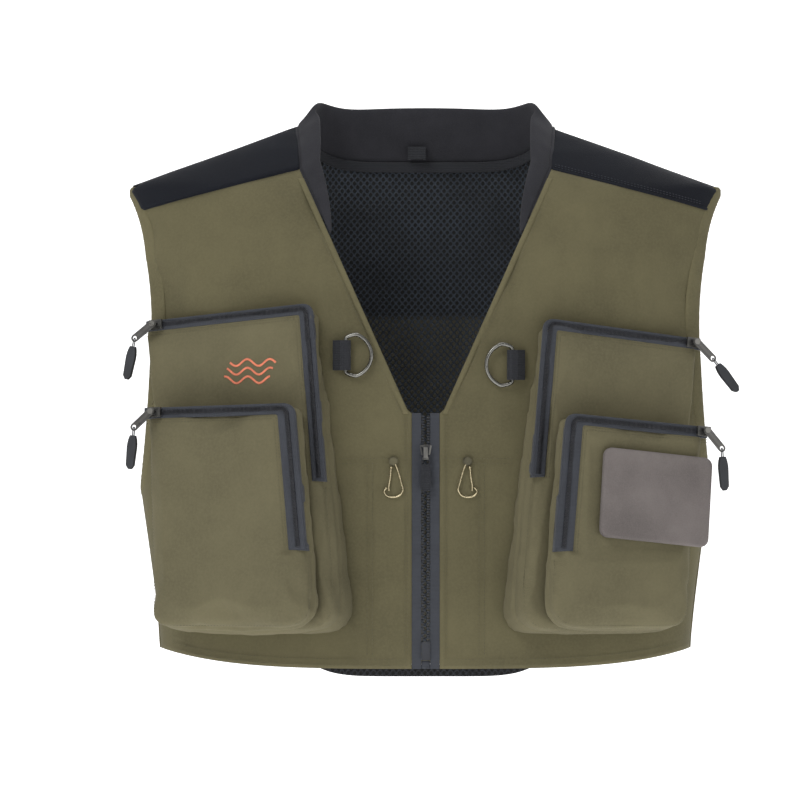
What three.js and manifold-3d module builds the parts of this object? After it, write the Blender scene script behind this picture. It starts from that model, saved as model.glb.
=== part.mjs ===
// A fishing vest, zipped at the front: shaped fabric panels, a stand-up collar, two stacked bellows
// pockets on each side, D-rings, wire snap hooks and a pull-off fly patch.
// Millimetres. +Z is up, -Y is the vest's front and +X is the wearer's left.
// The origin is the middle of the hang loop inside the back of the neck.
import * as THREE from "three";
import { mergeVertices } from "three/addons/utils/BufferGeometryUtils.js";
import Module from "manifold-3d";

const wasm = await Module();
wasm.setup();

// ---- Body sizes. Heights are above the back hem. ----
const hemHalfWidth = 250;
const chestHalfWidth = 280;
const chestLevel = 300;
const bodyHalfDepth = 115;
const sectionPower = 2.1; // 2 is an ellipse, more is squarer
const fabric = 2.2; // shell and lining together
const gap = 0.3; // between neighbouring pieces

const ridgeHeight = 523; // the shoulder line where it meets the neck
const neckHalfWidth = 122;
const ridgeFall = 0.361; // drop of the shoulder line for each millimetre outwards
const shoulderTipHeight = ridgeHeight - ridgeFall * (chestHalfWidth - neckHalfWidth);

// How far below the shoulder line the body reaches each share of its depth.
const depthByDrop = [
  [0, 0.1],
  [8, 0.26],
  [23, 0.43],
  [43, 0.57],
  [73, 0.75],
  [123, 0.92],
  [223, 1],
];

// ---- Cut lines ----
const zipTop = 251;
const zipHalfGap = 12.8;
const neckPointHalfGap = 16;
const yokeDropAtNeck = 41;
const yokeFall = 0.25;
const backYokeDropAtNeck = 23;
const backYokeFall = 0.33;
const backNeckDrop = 33;
const backNeckPower = 6;
const backSeamHeight = 346;
const frontHem = 12;
const hemRise = 18;
const hemBandHalfWidth = 105;
const underarmHeight = 175;
const armholeHalfWidth = 55;
const bindingWidth = 9;
const bindingThickness = 3.4;
const liningGap = 0.6;
const liningThickness = 1;
const liningHem = 16;
const liningSetBack = 4; // from the neck and shoulder seams
const liningArmhole = 2; // how much wider the lining's armhole is cut

// ---- Collar and hang loop ----
const collarThickness = 5;
const collarStandOff = 1.2; // from the neck edge to the middle of the collar's base
const collarStart = 420; // height of the collar's pointed front ends
const collarBackHeight = 56;
const collarSideHeight = 14;
const collarFold = 20; // how far the collar's front stands in from the neck edge
const loopOffset = -8; // the loop is sewn a little to the wearer's right
const loopWidth = 17;
const loopTall = 12;
const loopDepth = 7;
const loopTape = 1.2;

// ---- Front zip ----
const tapeThickness = 1.2;
const chainHalfGap = 0.9;
const chainWidth = 3;
const chainThickness = 3.4;
const zipBottom = 20;
const zipBoxHeight = 17;
const frontSliderHeight = 214;
const sliderWidth = 11;
const sliderLength = 13;
const sliderPlate = 1.8;
const sliderClearance = 0.4;
const frontPullLength = 34;

// ---- Pockets: one frame for each side, turned outwards and leaning back at the top ----
const pocketYaw = THREE.MathUtils.degToRad(22);
const pocketLean = THREE.MathUtils.degToRad(5);
// The frame's origin, where the large pocket's front meets its bottom inner corner.
const pocketOrigin = { x: 116, y: -153, z: 47 };
const smallPocketDepth = 30;
const pocketWallReach = 75; // before the walls are trimmed to the body
const pocketBodyGap = 0.9; // faceted panels behind the walls need more than the plain gap
const pocketWall = 2;
const pocketFront = 2;
const largeTape = { top: 11, side: 14 };
const smallTape = { top: 11, side: 18 };
const coilWidth = 5;
const coilHeight = 1.8;

// ---- Pocket sliders and pulls ----
const pocketSliderWidth = 9;
const postRadius = 1.5;
const postShoulder = 2.8;
const shoulderTop = 9.8;
const pullerThickness = 1;
const pullerLength = 22;
const pullerEndRadius = 3.6;
const eyeRadius = 2.2;
const cordRadius = 0.6;
const rubberLength = 34;
const rubberWidth = 9;
const rubberThickness = 4.2;

// ---- D-rings, hooks and fly patch ----
const ringHeight = 40;
const ringReach = 24;
const ringWire = 1.8;
const ringClearance = 0.9;
const tabHeight = 28;
const tabLength = 12.5;
const tabEnd = 4.6;
const hookWire = 0.8;
const hookRise = 31;
const patchWidth = 110;
const patchHeight = 84;
const patchFoam = 6.1;
const patchBacking = 1.2;
const patchCentre = { x: 92, z: 122.5 };
const patchTilt = THREE.MathUtils.degToRad(5.6);

const leftSide = {
  name: "left",
  mirror: 1,
  pocketShift: 4,
  large: { innerTop: 295, outerTop: 276, topWidth: 160, bottomWidth: 135, flare: 36, zipDrop: 150 },
  small: { innerTop: 203, outerTop: 190, topWidth: 150, bottomWidth: 125, flare: 25, zipDrop: 130 },
  largeSlider: 9,
  smallSlider: 5,
  smallStart: 6,
  pullAngles: { large: [45, 52], small: [50, 88] },
  ring: { x: 80, z: 296 },
  hook: { x: 39, z: 173 },
};
const rightSide = {
  name: "right",
  mirror: -1,
  pocketShift: 0,
  large: { innerTop: 309, outerTop: 293, topWidth: 170, bottomWidth: 150, flare: 36, zipDrop: 168 },
  small: { innerTop: 212, outerTop: 208, topWidth: 155, bottomWidth: 143, flare: 27, zipDrop: 138 },
  largeSlider: 12,
  smallSlider: 12,
  smallStart: 2,
  pullAngles: { large: [38, 80], small: [42, 86] },
  ring: { x: 74, z: 305 },
  hook: { x: 30, z: 173 },
};

// ---- Finishes ----
const finish = (color, roughness, metalness = 0) =>
  new THREE.MeshStandardMaterial({ color, roughness, metalness });
const olive = finish(0x645e46, 0.9);
const pocketOlive = finish(0x6c6650, 0.9);
const navy = finish(0x1e2028, 0.92);
const charcoal = finish(0x36363a, 0.95);
const meshBlack = finish(0x1c2026, 0.9);
const bindingOlive = finish(0x6a6450, 0.85);
const slate = finish(0x3e4048, 0.8);
const coil = finish(0x1c1d21, 0.5);
const darkMetal = finish(0x2a2b2e, 0.4, 0.8);
const nickel = finish(0xa8a8a2, 0.25, 1);
const wire = finish(0xb9b296, 0.3, 1);
const rubber = finish(0x242629, 0.7);
const foam = finish(0x7a7472, 0.95);

// ---- Helpers: closed meshes to solids and back ----
const mergeDistance = 1e-4;

function solidOf(geometry) {
  const bare = new THREE.BufferGeometry();
  bare.setAttribute("position", geometry.getAttribute("position"));
  if (geometry.index) bare.setIndex(geometry.index);
  const merged = mergeVertices(bare, mergeDistance);
  return new wasm.Manifold(
    new wasm.Mesh({
      numProp: 3,
      vertProperties: new Float32Array(merged.attributes.position.array),
      triVerts: new Uint32Array(merged.index.array),
    }),
  );
}

function geometryOf(solid) {
  const mesh = solid.getMesh();
  const geometry = new THREE.BufferGeometry();
  geometry.setAttribute("position", new THREE.BufferAttribute(mesh.vertProperties, 3));
  geometry.setIndex(new THREE.BufferAttribute(mesh.triVerts, 1));
  geometry.computeVertexNormals();
  return geometry;
}

const unite = (...geometries) => geometryOf(geometries.map(solidOf).reduce((a, b) => a.add(b)));

const material = (name, geometry, look) => {
  const mesh = new THREE.Mesh(geometry, look);
  mesh.name = name;
  return mesh;
};

// A closed solid from rings of points, each ring in the same order, with flat ends.
function loft(rings) {
  const count = rings[0].length;
  const points = rings.flat();
  const index = [];
  for (let r = 0; r + 1 < rings.length; r++) {
    for (let i = 0; i < count; i++) {
      const a = r * count + i;
      const b = r * count + ((i + 1) % count);
      index.push(a, b, b + count, a, b + count, a + count);
    }
  }
  for (const [row, facesUp] of [[0, false], [rings.length - 1, true]]) {
    const centre = new THREE.Vector3();
    rings[row].forEach((p) => centre.add(p));
    points.push(centre.divideScalar(count));
    const hub = points.length - 1;
    for (let i = 0; i < count; i++) {
      const a = row * count + i;
      const b = row * count + ((i + 1) % count);
      index.push(...(facesUp ? [a, b, hub] : [b, a, hub]));
    }
  }
  const geometry = new THREE.BufferGeometry().setFromPoints(points);
  geometry.setIndex(index);
  return geometry;
}

const frontBasis = new THREE.Matrix4().makeBasis(
  new THREE.Vector3(1, 0, 0),
  new THREE.Vector3(0, 0, 1),
  new THREE.Vector3(0, -1, 0),
);
const sideBasis = new THREE.Matrix4().makeBasis(
  new THREE.Vector3(0, 1, 0),
  new THREE.Vector3(0, 0, 1),
  new THREE.Vector3(1, 0, 0),
);

// A shape drawn as seen from the front (x, z), filling the space from yFront to yBack.
function frontPlate(shape, yFront, yBack, curveSegments = 6) {
  const options = { depth: yBack - yFront, bevelEnabled: false, curveSegments };
  return new THREE.ExtrudeGeometry(shape, options).applyMatrix4(frontBasis).translate(0, yBack, 0);
}

// A shape drawn as seen from the side (y, z), filling the space from xStart to xEnd.
function sidePlate(shape, xStart, xEnd, curveSegments = 24) {
  const options = { depth: xEnd - xStart, bevelEnabled: false, curveSegments };
  return new THREE.ExtrudeGeometry(shape, options).applyMatrix4(sideBasis).translate(xStart, 0, 0);
}

const polygon = (points) => new THREE.Shape(points.map(([a, b]) => new THREE.Vector2(a, b)));

function box(x0, x1, y0, y1, z0, z1) {
  return new THREE.BoxGeometry(x1 - x0, y1 - y0, z1 - z0).translate(
    (x0 + x1) / 2,
    (y0 + y1) / 2,
    (z0 + z1) / 2,
  );
}

// ---- The body's surface ----
const smooth = (t) => {
  const u = THREE.MathUtils.clamp(t, 0, 1);
  return u * u * (3 - 2 * u);
};

function halfWidth(z) {
  const side = hemHalfWidth + (chestHalfWidth - hemHalfWidth) * smooth(z / chestLevel);
  const ridge = neckHalfWidth + (ridgeHeight - z) / ridgeFall;
  return Math.min(side, ridge);
}

function halfDepth(z) {
  const drop = Math.max(ridgeHeight - z, 0);
  for (let i = 1; i < depthByDrop.length; i++) {
    const [d0, s0] = depthByDrop[i - 1];
    const [d1, s1] = depthByDrop[i];
    if (drop <= d1) return bodyHalfDepth * (s0 + ((s1 - s0) * (drop - d0)) / (d1 - d0));
  }
  return bodyHalfDepth;
}

// The body's depth at x and z: its front surface is at -y and its back surface at +y.
function depthAt(x, z) {
  const share = Math.min(Math.abs(x) / halfWidth(z), 1);
  return halfDepth(z) * Math.pow(1 - Math.pow(share, sectionPower), 1 / sectionPower);
}

const levelDrops = [545, 523, 373, 223, 173, 123, 98, 73, 56, 43, 31, 20, 10, 0];
const ringPoints = 40;

// The whole body as one solid, grown by offset all round.
function bodySolid(offset) {
  const rings = levelDrops.map((drop) => {
    const z = ridgeHeight - drop;
    const w = halfWidth(z) + offset;
    const d = halfDepth(z) + offset;
    return Array.from({ length: ringPoints }, (_, i) => {
      const a = (2 * Math.PI * i) / ringPoints;
      const x = w * Math.sign(Math.cos(a)) * Math.pow(Math.abs(Math.cos(a)), 2 / sectionPower);
      const y = d * Math.sign(Math.sin(a)) * Math.pow(Math.abs(Math.sin(a)), 2 / sectionPower);
      return new THREE.Vector3(x, y, z + offset);
    });
  });
  return solidOf(loft(rings));
}

const shell = (outer, thickness) => bodySolid(outer).subtract(bodySolid(outer - thickness));

// ---- Cut lines as formulas ----
const neckBaseHeight = ridgeHeight - yokeDropAtNeck;
const neckBaseHalf = neckHalfWidth - 3;
const reach = 340; // past the body's widest point
const above = ridgeHeight + 60;

function neckEdge(z) {
  if (z <= neckBaseHeight) {
    const t = (z - zipTop) / (neckBaseHeight - zipTop);
    return neckPointHalfGap + (neckBaseHalf - neckPointHalfGap) * t;
  }
  const t = (z - neckBaseHeight) / yokeDropAtNeck;
  return neckBaseHalf + (neckHalfWidth - neckBaseHalf) * Math.min(t, 1);
}

const backNeck = (x) =>
  ridgeHeight - backNeckDrop + backNeckDrop * Math.pow(Math.abs(x) / neckHalfWidth, backNeckPower);
const frontHemAt = (x) => frontHem + hemRise * Math.pow(Math.abs(x) / hemHalfWidth, 4);
const frontSeam = (x) => neckBaseHeight - yokeFall * (x - neckBaseHalf);
const backSeamShare = (backNeckDrop - backYokeDropAtNeck) / backNeckDrop;
const backSeamInner = neckHalfWidth * Math.pow(backSeamShare, 1 / backNeckPower);
const backSeam = (x) => ridgeHeight - backYokeDropAtNeck - backYokeFall * (x - backSeamInner);

const steps = (from, to, count) =>
  Array.from({ length: count + 1 }, (_, i) => from + ((to - from) * i) / count);

const armholeMiddle = (underarmHeight + shoulderTipHeight) / 2;
const armholeHalfHeight = (shoulderTipHeight - underarmHeight) / 2;

function armholeSolid(grow) {
  const shape = new THREE.Shape();
  const a = armholeHalfWidth + grow;
  const b = armholeHalfHeight + grow;
  shape.absellipse(0, armholeMiddle, a, b, 0, 2 * Math.PI);
  return solidOf(sidePlate(shape, neckHalfWidth + 20, reach, 20));
}

const frontSlab = (points) => solidOf(frontPlate(polygon(points), -reach, -gap / 2));
const backSlab = (points) => solidOf(frontPlate(polygon(points), gap / 2, reach));

// ---- Body panels ----
const bodyShell = shell(0, fabric);
const armhole = armholeSolid(0);

function frontPanel() {
  const inner = zipHalfGap + gap;
  const points = [
    ...steps(inner, reach, 20).map((x) => [x, frontHemAt(x)]),
    [reach, frontSeam(reach) - gap],
    [neckBaseHalf, frontSeam(neckBaseHalf) - gap],
    [neckPointHalfGap, zipTop],
    [inner, zipTop],
  ];
  return geometryOf(bodyShell.intersect(frontSlab(points)).subtract(armhole));
}

function yoke() {
  const front = [
    [neckBaseHalf, neckBaseHeight + gap],
    [reach, frontSeam(reach) + gap],
    [reach, above],
    [neckHalfWidth, above],
    [neckHalfWidth, ridgeHeight],
  ];
  const back = [
    ...steps(neckHalfWidth, backSeamInner + 1, 6).map((x) => [x, backNeck(x)]),
    [reach, backSeam(reach) + gap],
    [reach, above],
    [neckHalfWidth, above],
  ].reverse();
  const frontRegion = solidOf(frontPlate(polygon(front), -reach, 0.5));
  const backRegion = solidOf(frontPlate(polygon(back), -0.5, reach));
  return geometryOf(bodyShell.intersect(frontRegion.add(backRegion)).subtract(armhole));
}

function backYoke(cutter) {
  const top = [
    [reach, backSeam(reach) - gap],
    [backSeamInner, backSeam(backSeamInner) - gap],
    ...steps(backSeamInner - 1, 1 - backSeamInner, 12).map((x) => [x, backNeck(x) - gap]),
    [-backSeamInner, backSeam(backSeamInner) - gap],
    [-reach, backSeam(reach) - gap],
  ];
  const points = [[-reach, backSeamHeight + gap], [reach, backSeamHeight + gap], ...top];
  return geometryOf(bodyShell.intersect(backSlab(points)).subtract(cutter));
}

function backPanel(cutter) {
  const hem = steps(-reach, reach, 34).map((x) => [x, frontHemAt(x)]);
  const points = [...hem, [reach, backSeamHeight - gap], [-reach, backSeamHeight - gap]];
  return geometryOf(bodyShell.intersect(backSlab(points)).subtract(cutter));
}

function hemBand() {
  const lower = (x) => frontHem * 0.85 * Math.pow(Math.abs(x) / hemBandHalfWidth, 6);
  const across = steps(-hemBandHalfWidth, hemBandHalfWidth, 14);
  const points = [
    ...across.map((x) => [x, lower(x)]),
    ...across.toReversed().map((x) => [x, frontHemAt(x) - gap]),
  ];
  return geometryOf(bodyShell.intersect(backSlab(points)));
}

function backLining(cutter) {
  const across = steps(backSeamInner, -backSeamInner, 12);
  const points = [
    [-reach, liningHem],
    [reach, liningHem],
    [reach, backSeam(reach) - liningSetBack],
    ...across.map((x) => [x, backNeck(x) - liningSetBack]),
    [-reach, backSeam(reach) - liningSetBack],
  ];
  const sheet = shell(-fabric - liningGap, liningThickness);
  const behind = backSlab(points).translate(0, liningSetBack, 0);
  return geometryOf(sheet.intersect(behind).subtract(cutter));
}

function armholeBinding() {
  const over = (bindingThickness - fabric) / 2;
  const ring = armholeSolid(-gap).subtract(armholeSolid(-bindingWidth));
  return geometryOf(shell(over, bindingThickness).intersect(ring));
}

// ---- Collar: a band from the neck edge up to its free edge ----
function collarPoint(t, up) {
  const side = Math.sign(t) || 1;
  const q = Math.abs(t);
  const backShare = 0.42;
  if (q <= backShare) {
    const turn = (q / backShare) * (Math.PI / 2);
    const x = neckHalfWidth * Math.sin(turn);
    const z = backNeck(x);
    const y = depthAt(x, z);
    const rise = collarBackHeight + (collarSideHeight - collarBackHeight) * Math.pow(q / backShare, 3);
    const lean = 17 * Math.sin(turn);
    return new THREE.Vector3(
      side * (x - collarStandOff * 0.7 * Math.sin(turn) - lean * up),
      y - 3 - 9 * up * Math.cos(turn),
      z + collarStandOff * (1 - 0.3 * Math.sin(turn)) + rise * up,
    );
  }
  const down = (q - backShare) / (1 - backShare);
  const z = ridgeHeight - (ridgeHeight - collarStart) * down;
  const x = neckEdge(z);
  const taper = 1 - Math.pow(down, 4);
  const bow = collarFold * taper * (0.85 + 0.15 * Math.cos(Math.PI * down));
  return new THREE.Vector3(
    side * (x - collarStandOff * (0.7 + 0.3 * Math.min(down * 4, 1)) - (bow + 1.5) * up),
    -depthAt(x, z) - 3 * (1 - 2 * Math.min(down * 3, 1)) - 5 * up * Math.sin(Math.PI * down),
    z + collarStandOff * 0.7 * (1 - Math.min(down * 4, 1)) + collarSideHeight * (1 - down) * up,
  );
}

function collar() {
  const along = 40;
  const upSteps = 3;
  const middle = (i, j) => collarPoint(-1 + (2 * i) / along, j / upSteps);
  const offset = (i, j, side) => {
    const di = middle(Math.min(i + 1, along), j).sub(middle(Math.max(i - 1, 0), j));
    const dj = middle(i, Math.min(j + 1, upSteps)).sub(middle(i, Math.max(j - 1, 0)));
    const normal = di.cross(dj).normalize();
    return middle(i, j).addScaledVector(normal, (side * collarThickness) / 2);
  };
  const rings = Array.from({ length: along + 1 }, (_, i) => [
    ...steps(0, upSteps, upSteps).map((j) => offset(i, j, -1)),
    ...steps(upSteps, 0, upSteps).map((j) => offset(i, j, 1)),
  ]);
  return loft(rings);
}

function hangLoop() {
  const outer = box(-loopWidth / 2, loopWidth / 2, -loopDepth, 0, -loopTall / 2, loopTall / 2);
  const inner = box(
    -loopWidth / 2 + 2 * loopTape,
    loopWidth / 2 - 2 * loopTape,
    -loopDepth + loopTape,
    1,
    -loopTall,
    loopTall,
  );
  return geometryOf(solidOf(outer).subtract(solidOf(inner)));
}

// ---- Front zip ----
const frontFace = -bodyHalfDepth;

function zipTape() {
  const start = chainHalfGap + chainWidth + gap;
  const back = frontFace + tapeThickness;
  return box(start, zipHalfGap, frontFace, back, frontHemAt(0), zipTop);
}

function zipChain() {
  const middle = frontFace + tapeThickness / 2;
  const bottom = zipBottom + zipBoxHeight + gap;
  const half = chainThickness / 2;
  return box(chainHalfGap, chainHalfGap + chainWidth, middle - half, middle + half, bottom, zipTop - 3);
}

function zipBox() {
  const half = chainHalfGap + chainWidth;
  const middle = frontFace + tapeThickness / 2;
  const depth = chainThickness / 2 + 0.6;
  return box(-half, half, middle - depth, middle + depth, zipBottom, zipBottom + zipBoxHeight);
}

// A slider with a plate on each side of the chain, a neck between the chain halves and an arch in front.
const archGap = 2.6;
const archHalfWidth = 2;
const pullBar = 0.7;

function frontSlider() {
  const reachOut = chainThickness / 2 + sliderClearance;
  const plateOutline = new THREE.Shape();
  const half = sliderWidth / 2;
  plateOutline.moveTo(-half, sliderLength / 2);
  plateOutline.lineTo(-half * 0.62, -sliderLength / 2);
  plateOutline.lineTo(half * 0.62, -sliderLength / 2);
  plateOutline.lineTo(half, sliderLength / 2);
  plateOutline.quadraticCurveTo(0, sliderLength / 2 + 2, -half, sliderLength / 2);
  const front = frontPlate(plateOutline, -reachOut - sliderPlate, -reachOut);
  const back = frontPlate(plateOutline, reachOut, reachOut + sliderPlate);
  const neck = box(-0.5, 0.5, -reachOut - 0.5, reachOut + 0.5, 0, sliderLength / 2);
  const archBack = -reachOut - sliderPlate;
  const arch = box(-archHalfWidth, archHalfWidth, archBack - archGap - 1.2, archBack + 0.5, -5, 5);
  const archHole = box(-9, 9, archBack - archGap, archBack, -3.8, 3.8);
  return geometryOf(
    solidOf(front).add(solidOf(back)).add(solidOf(neck)).add(solidOf(arch).subtract(solidOf(archHole))),
  );
}

// The pull hangs from a bar that lies under the slider's arch; the bar is at the local origin.
function frontPull() {
  const wireRadius = pullBar;
  const halfBar = archHalfWidth + 1.6;
  const bar = new THREE.CylinderGeometry(wireRadius, wireRadius, 2 * halfBar + 2 * wireRadius, 10);
  bar.rotateZ(Math.PI / 2);
  const arm = (x) => box(x - wireRadius, x + wireRadius, -wireRadius, wireRadius, -9, 0.2);
  const outline = new THREE.Shape();
  outline.moveTo(-halfBar - 0.7, -8);
  outline.lineTo(-halfBar - 1.6, -frontPullLength + 4);
  outline.quadraticCurveTo(0, -frontPullLength - 3, halfBar + 1.6, -frontPullLength + 4);
  outline.lineTo(halfBar + 0.7, -8);
  const tab = frontPlate(outline, -1.1, 1.1);
  return unite(bar, arm(-halfBar), arm(halfBar), tab);
}

// ---- Pockets. Local frame: x outwards along the front, z up, and the front's outer face at y = 0. ----
// Corners are inner bottom, inner top, outer top and outer bottom.
const pocketCorners = (p, start) => [
  [start - p.flare, 0],
  [start, p.innerTop],
  [p.topWidth, p.outerTop],
  [p.bottomWidth, 0],
];

// The same corners moved inwards by one distance for each of the four edges.
function insetCorners(corners, distances) {
  const lines = corners.map(([x, z], i) => {
    const [nx, nz] = corners[(i + 1) % corners.length];
    const length = Math.hypot(nx - x, nz - z);
    const inward = [(nz - z) / length, -(nx - x) / length];
    const d = distances[i];
    return { p: [x + inward[0] * d, z + inward[1] * d], v: [(nx - x) / length, (nz - z) / length] };
  });
  return lines.map((line, i) => {
    const before = lines[(i + lines.length - 1) % lines.length];
    const cross = before.v[0] * line.v[1] - before.v[1] * line.v[0];
    const dx = line.p[0] - before.p[0];
    const dz = line.p[1] - before.p[1];
    const s = (dx * line.v[1] - dz * line.v[0]) / cross;
    return [before.p[0] + before.v[0] * s, before.p[1] + before.v[1] * s];
  });
}

const cornerRadii = [34, 12, 9, 20];
const beyond = 80; // further than a pocket's edges reach out of its frame

function roundedOutline(corners, inset) {
  const shape = new THREE.Shape();
  corners.forEach(([x, z], i) => {
    const here = new THREE.Vector2(x, z);
    const previous = new THREE.Vector2(...corners[(i + 3) % 4]);
    const next = new THREE.Vector2(...corners[(i + 1) % 4]);
    const radius = Math.max(cornerRadii[i] - inset, 2);
    const start = here.clone().add(previous.sub(here).setLength(radius));
    const end = here.clone().add(next.sub(here).setLength(radius));
    if (i === 0) shape.moveTo(start.x, start.y);
    else shape.lineTo(start.x, start.y);
    shape.quadraticCurveTo(here.x, here.y, end.x, end.y);
  });
  return shape;
}

// A plate inside the pocket's outline: side and top are the insets of the edges that the zip follows.
function pocketPlate(corners, side, top, rest, yFront, yBack) {
  const inner = insetCorners(corners, [side, top, rest, rest]);
  return solidOf(frontPlate(roundedOutline(inner, Math.min(side, top)), yFront, yBack, 5));
}

// The L-shaped strip between two insets, down the inner side to zipDrop below the top.
function zipStrip(p, corners, outer, inner, yFront, yBack, endGap) {
  const ring = pocketPlate(corners, outer.side, outer.top, 0, yFront, yBack).subtract(
    pocketPlate(corners, inner.side, inner.top, -beyond, yFront - 1, yBack + 1),
  );
  const end = p.topWidth - endGap;
  const bottom = p.innerTop - p.zipDrop;
  const keep = box(-beyond, end, yFront - 2, yBack + 2, bottom, p.innerTop + beyond);
  return ring.intersect(solidOf(keep));
}

function pocketPieces(p, start, tape) {
  const corners = pocketCorners(p, start);
  const none = { side: 0, top: 0 };
  const grown = { side: tape.side + gap, top: tape.top + gap };
  const cut = { ...p, zipDrop: p.zipDrop + gap };
  const hole = zipStrip(cut, corners, { side: -9, top: -9 }, grown, -3, pocketFront + 3, -9);
  const half = coilWidth / 2;
  const coilOuter = { side: tape.side / 2 - half, top: tape.top / 2 - half };
  const coilInner = { side: tape.side / 2 + half, top: tape.top / 2 + half };
  return {
    corners,
    front: geometryOf(pocketPlate(corners, 0, 0, 0, 0, pocketFront).subtract(hole)),
    tape: geometryOf(zipStrip(p, corners, none, tape, 0, pocketFront, 0.5)),
    coil: geometryOf(zipStrip(p, corners, coilOuter, coilInner, -gap - coilHeight, -gap, 4)),
  };
}

function gusset(corners, depth) {
  const back = pocketFront + gap + depth;
  return pocketPlate(corners, 0, 0, 0, pocketFront + gap, back).subtract(
    pocketPlate(corners, pocketWall, pocketWall, pocketWall, 0, back + 3),
  );
}

// ---- Pocket slider, puller and pull tip ----
function pocketSlider() {
  const half = pocketSliderWidth / 2;
  const bottom = gap + 0.1;
  const roof = gap + coilHeight + sliderClearance;
  const shellBox = box(-sliderLength / 2, sliderLength / 2, -roof - sliderPlate, -bottom, -half, half);
  const channel = coilWidth / 2 + sliderClearance;
  const run = box(-sliderLength, sliderLength, -roof, 1, -channel, channel);
  const base = roof + sliderPlate;
  const profile = [
    [0, base - 0.6],
    [postShoulder, base - 0.6],
    [postShoulder, shoulderTop],
    [postRadius, shoulderTop],
    [postRadius, shoulderTop + pullerThickness + 0.8],
    [postShoulder, shoulderTop + pullerThickness + 0.8],
    [postShoulder, shoulderTop + pullerThickness + 1.6],
    [0, shoulderTop + pullerThickness + 1.6],
  ];
  const post = new THREE.LatheGeometry(profile.map(([r, h]) => new THREE.Vector2(r, h)), 10);
  post.rotateX(Math.PI); // the post points out of the pocket's front
  return geometryOf(solidOf(shellBox).subtract(solidOf(run)).add(solidOf(post)));
}

const pullerFront = -(shoulderTop + 0.4 + pullerThickness);

// The puller's plate, from its hole at the local origin to its eye at pullerLength along x.
function puller() {
  const outline = new THREE.Shape();
  outline.absarc(0, 0, pullerEndRadius, Math.PI / 2, (3 * Math.PI) / 2, false);
  outline.absarc(pullerLength, 0, pullerEndRadius, (3 * Math.PI) / 2, (5 * Math.PI) / 2, false);
  for (const x of [0, pullerLength]) {
    const hole = new THREE.Path();
    hole.absarc(x, 0, x === 0 ? postRadius + 0.5 : eyeRadius, 0, 2 * Math.PI, true);
    outline.holes.push(hole);
  }
  return frontPlate(outline, pullerFront, pullerFront + pullerThickness, 5);
}

// The rubber tip and the cord loop that ties it to the puller's eye, pointing along x.
function pullTip() {
  const middle = pullerFront + pullerThickness / 2;
  const half = pullerThickness / 2 + 0.6 + cordRadius;
  const loopEnd = 10;
  const points = [];
  for (const a of steps(90, 270, 6)) {
    const turn = THREE.MathUtils.degToRad(a);
    points.push(new THREE.Vector3(half + half * Math.cos(turn), middle + half * Math.sin(turn), 0));
  }
  for (const a of steps(-90, 90, 6)) {
    const turn = THREE.MathUtils.degToRad(a);
    points.push(new THREE.Vector3(loopEnd + half * Math.cos(turn), middle + half * Math.sin(turn), 0));
  }
  const route = new THREE.CatmullRomCurve3(points, true, "centripetal");
  const cord = new THREE.TubeGeometry(route, 20, cordRadius, 6, true);
  const outline = new THREE.Shape();
  const start = loopEnd - 2;
  outline.moveTo(start, -rubberWidth * 0.28);
  outline.quadraticCurveTo(start + 5, -rubberWidth / 2, start + 11, -rubberWidth / 2);
  outline.lineTo(start + rubberLength - 6, -rubberWidth * 0.42);
  outline.quadraticCurveTo(start + rubberLength + 2, 0, start + rubberLength - 6, rubberWidth * 0.42);
  outline.lineTo(start + 11, rubberWidth / 2);
  outline.quadraticCurveTo(start + 5, rubberWidth / 2, start, rubberWidth * 0.28);
  const tip = frontPlate(outline, middle - rubberThickness / 2, middle + rubberThickness / 2, 3);
  return unite(cord, tip);
}

// ---- D-ring and its webbing tab. The ring's bar is the local z axis. ----
function dRing() {
  const half = ringHeight / 2;
  const corner = 4;
  const points = [];
  for (const z of [-half + corner, -half / 2, 0, half / 2, half - corner]) points.push([0, z]);
  for (const a of steps(75, -75, 8)) {
    const turn = THREE.MathUtils.degToRad(a);
    points.push([-corner - (ringReach - corner) * Math.cos(turn), half * Math.sin(turn)]);
  }
  const route = new THREE.CatmullRomCurve3(
    points.map(([x, z]) => new THREE.Vector3(x, 0, z)),
    true,
    "centripetal",
  );
  return new THREE.TubeGeometry(route, 26, ringWire, 8, true);
}

function ringTab() {
  const outline = new THREE.Shape();
  outline.absarc(0, 0, tabEnd, Math.PI / 2, (3 * Math.PI) / 2, false);
  outline.lineTo(5, -tabEnd + 0.6);
  outline.lineTo(tabLength, tabEnd - 3.2 - 1);
  outline.lineTo(tabLength, tabEnd);
  const bore = new THREE.Path();
  bore.absarc(0, 0, ringWire + ringClearance, 0, 2 * Math.PI, true);
  outline.holes.push(bore);
  const options = { depth: tabHeight, bevelEnabled: false, curveSegments: 6 };
  return new THREE.ExtrudeGeometry(outline, options).translate(0, 0, -tabHeight / 2);
}

// ---- Wire snap hook. Its eye is at the local origin and it hangs down. ----
const hookEye = 2.6;

function wireAlong(points, segments) {
  const route = new THREE.CatmullRomCurve3(points.map(([x, z]) => new THREE.Vector3(x, 0, z)));
  const section = new THREE.Shape();
  section.absarc(0, 0, hookWire, 0, 2 * Math.PI, false);
  const options = { steps: segments, extrudePath: route, curveSegments: 3 };
  return new THREE.ExtrudeGeometry(section, options);
}

function hookBody() {
  const eye = new THREE.TorusGeometry(hookEye, hookWire, 6, 14).rotateX(Math.PI / 2);
  const leg = wireAlong(
    [
      [-1.4, -hookEye + 0.4],
      [-4, -hookEye - 6],
      [-7.5, -hookRise * 0.68],
      [-8.8, -hookRise * 0.86],
      [-5.5, -hookRise - 1],
      [0, -hookRise - 2.6],
      [6, -hookRise - 1.4],
      [8.8, -hookRise + 3],
      [6.6, -hookRise + 6.2],
    ],
    20,
  );
  return unite(eye, leg);
}

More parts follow.
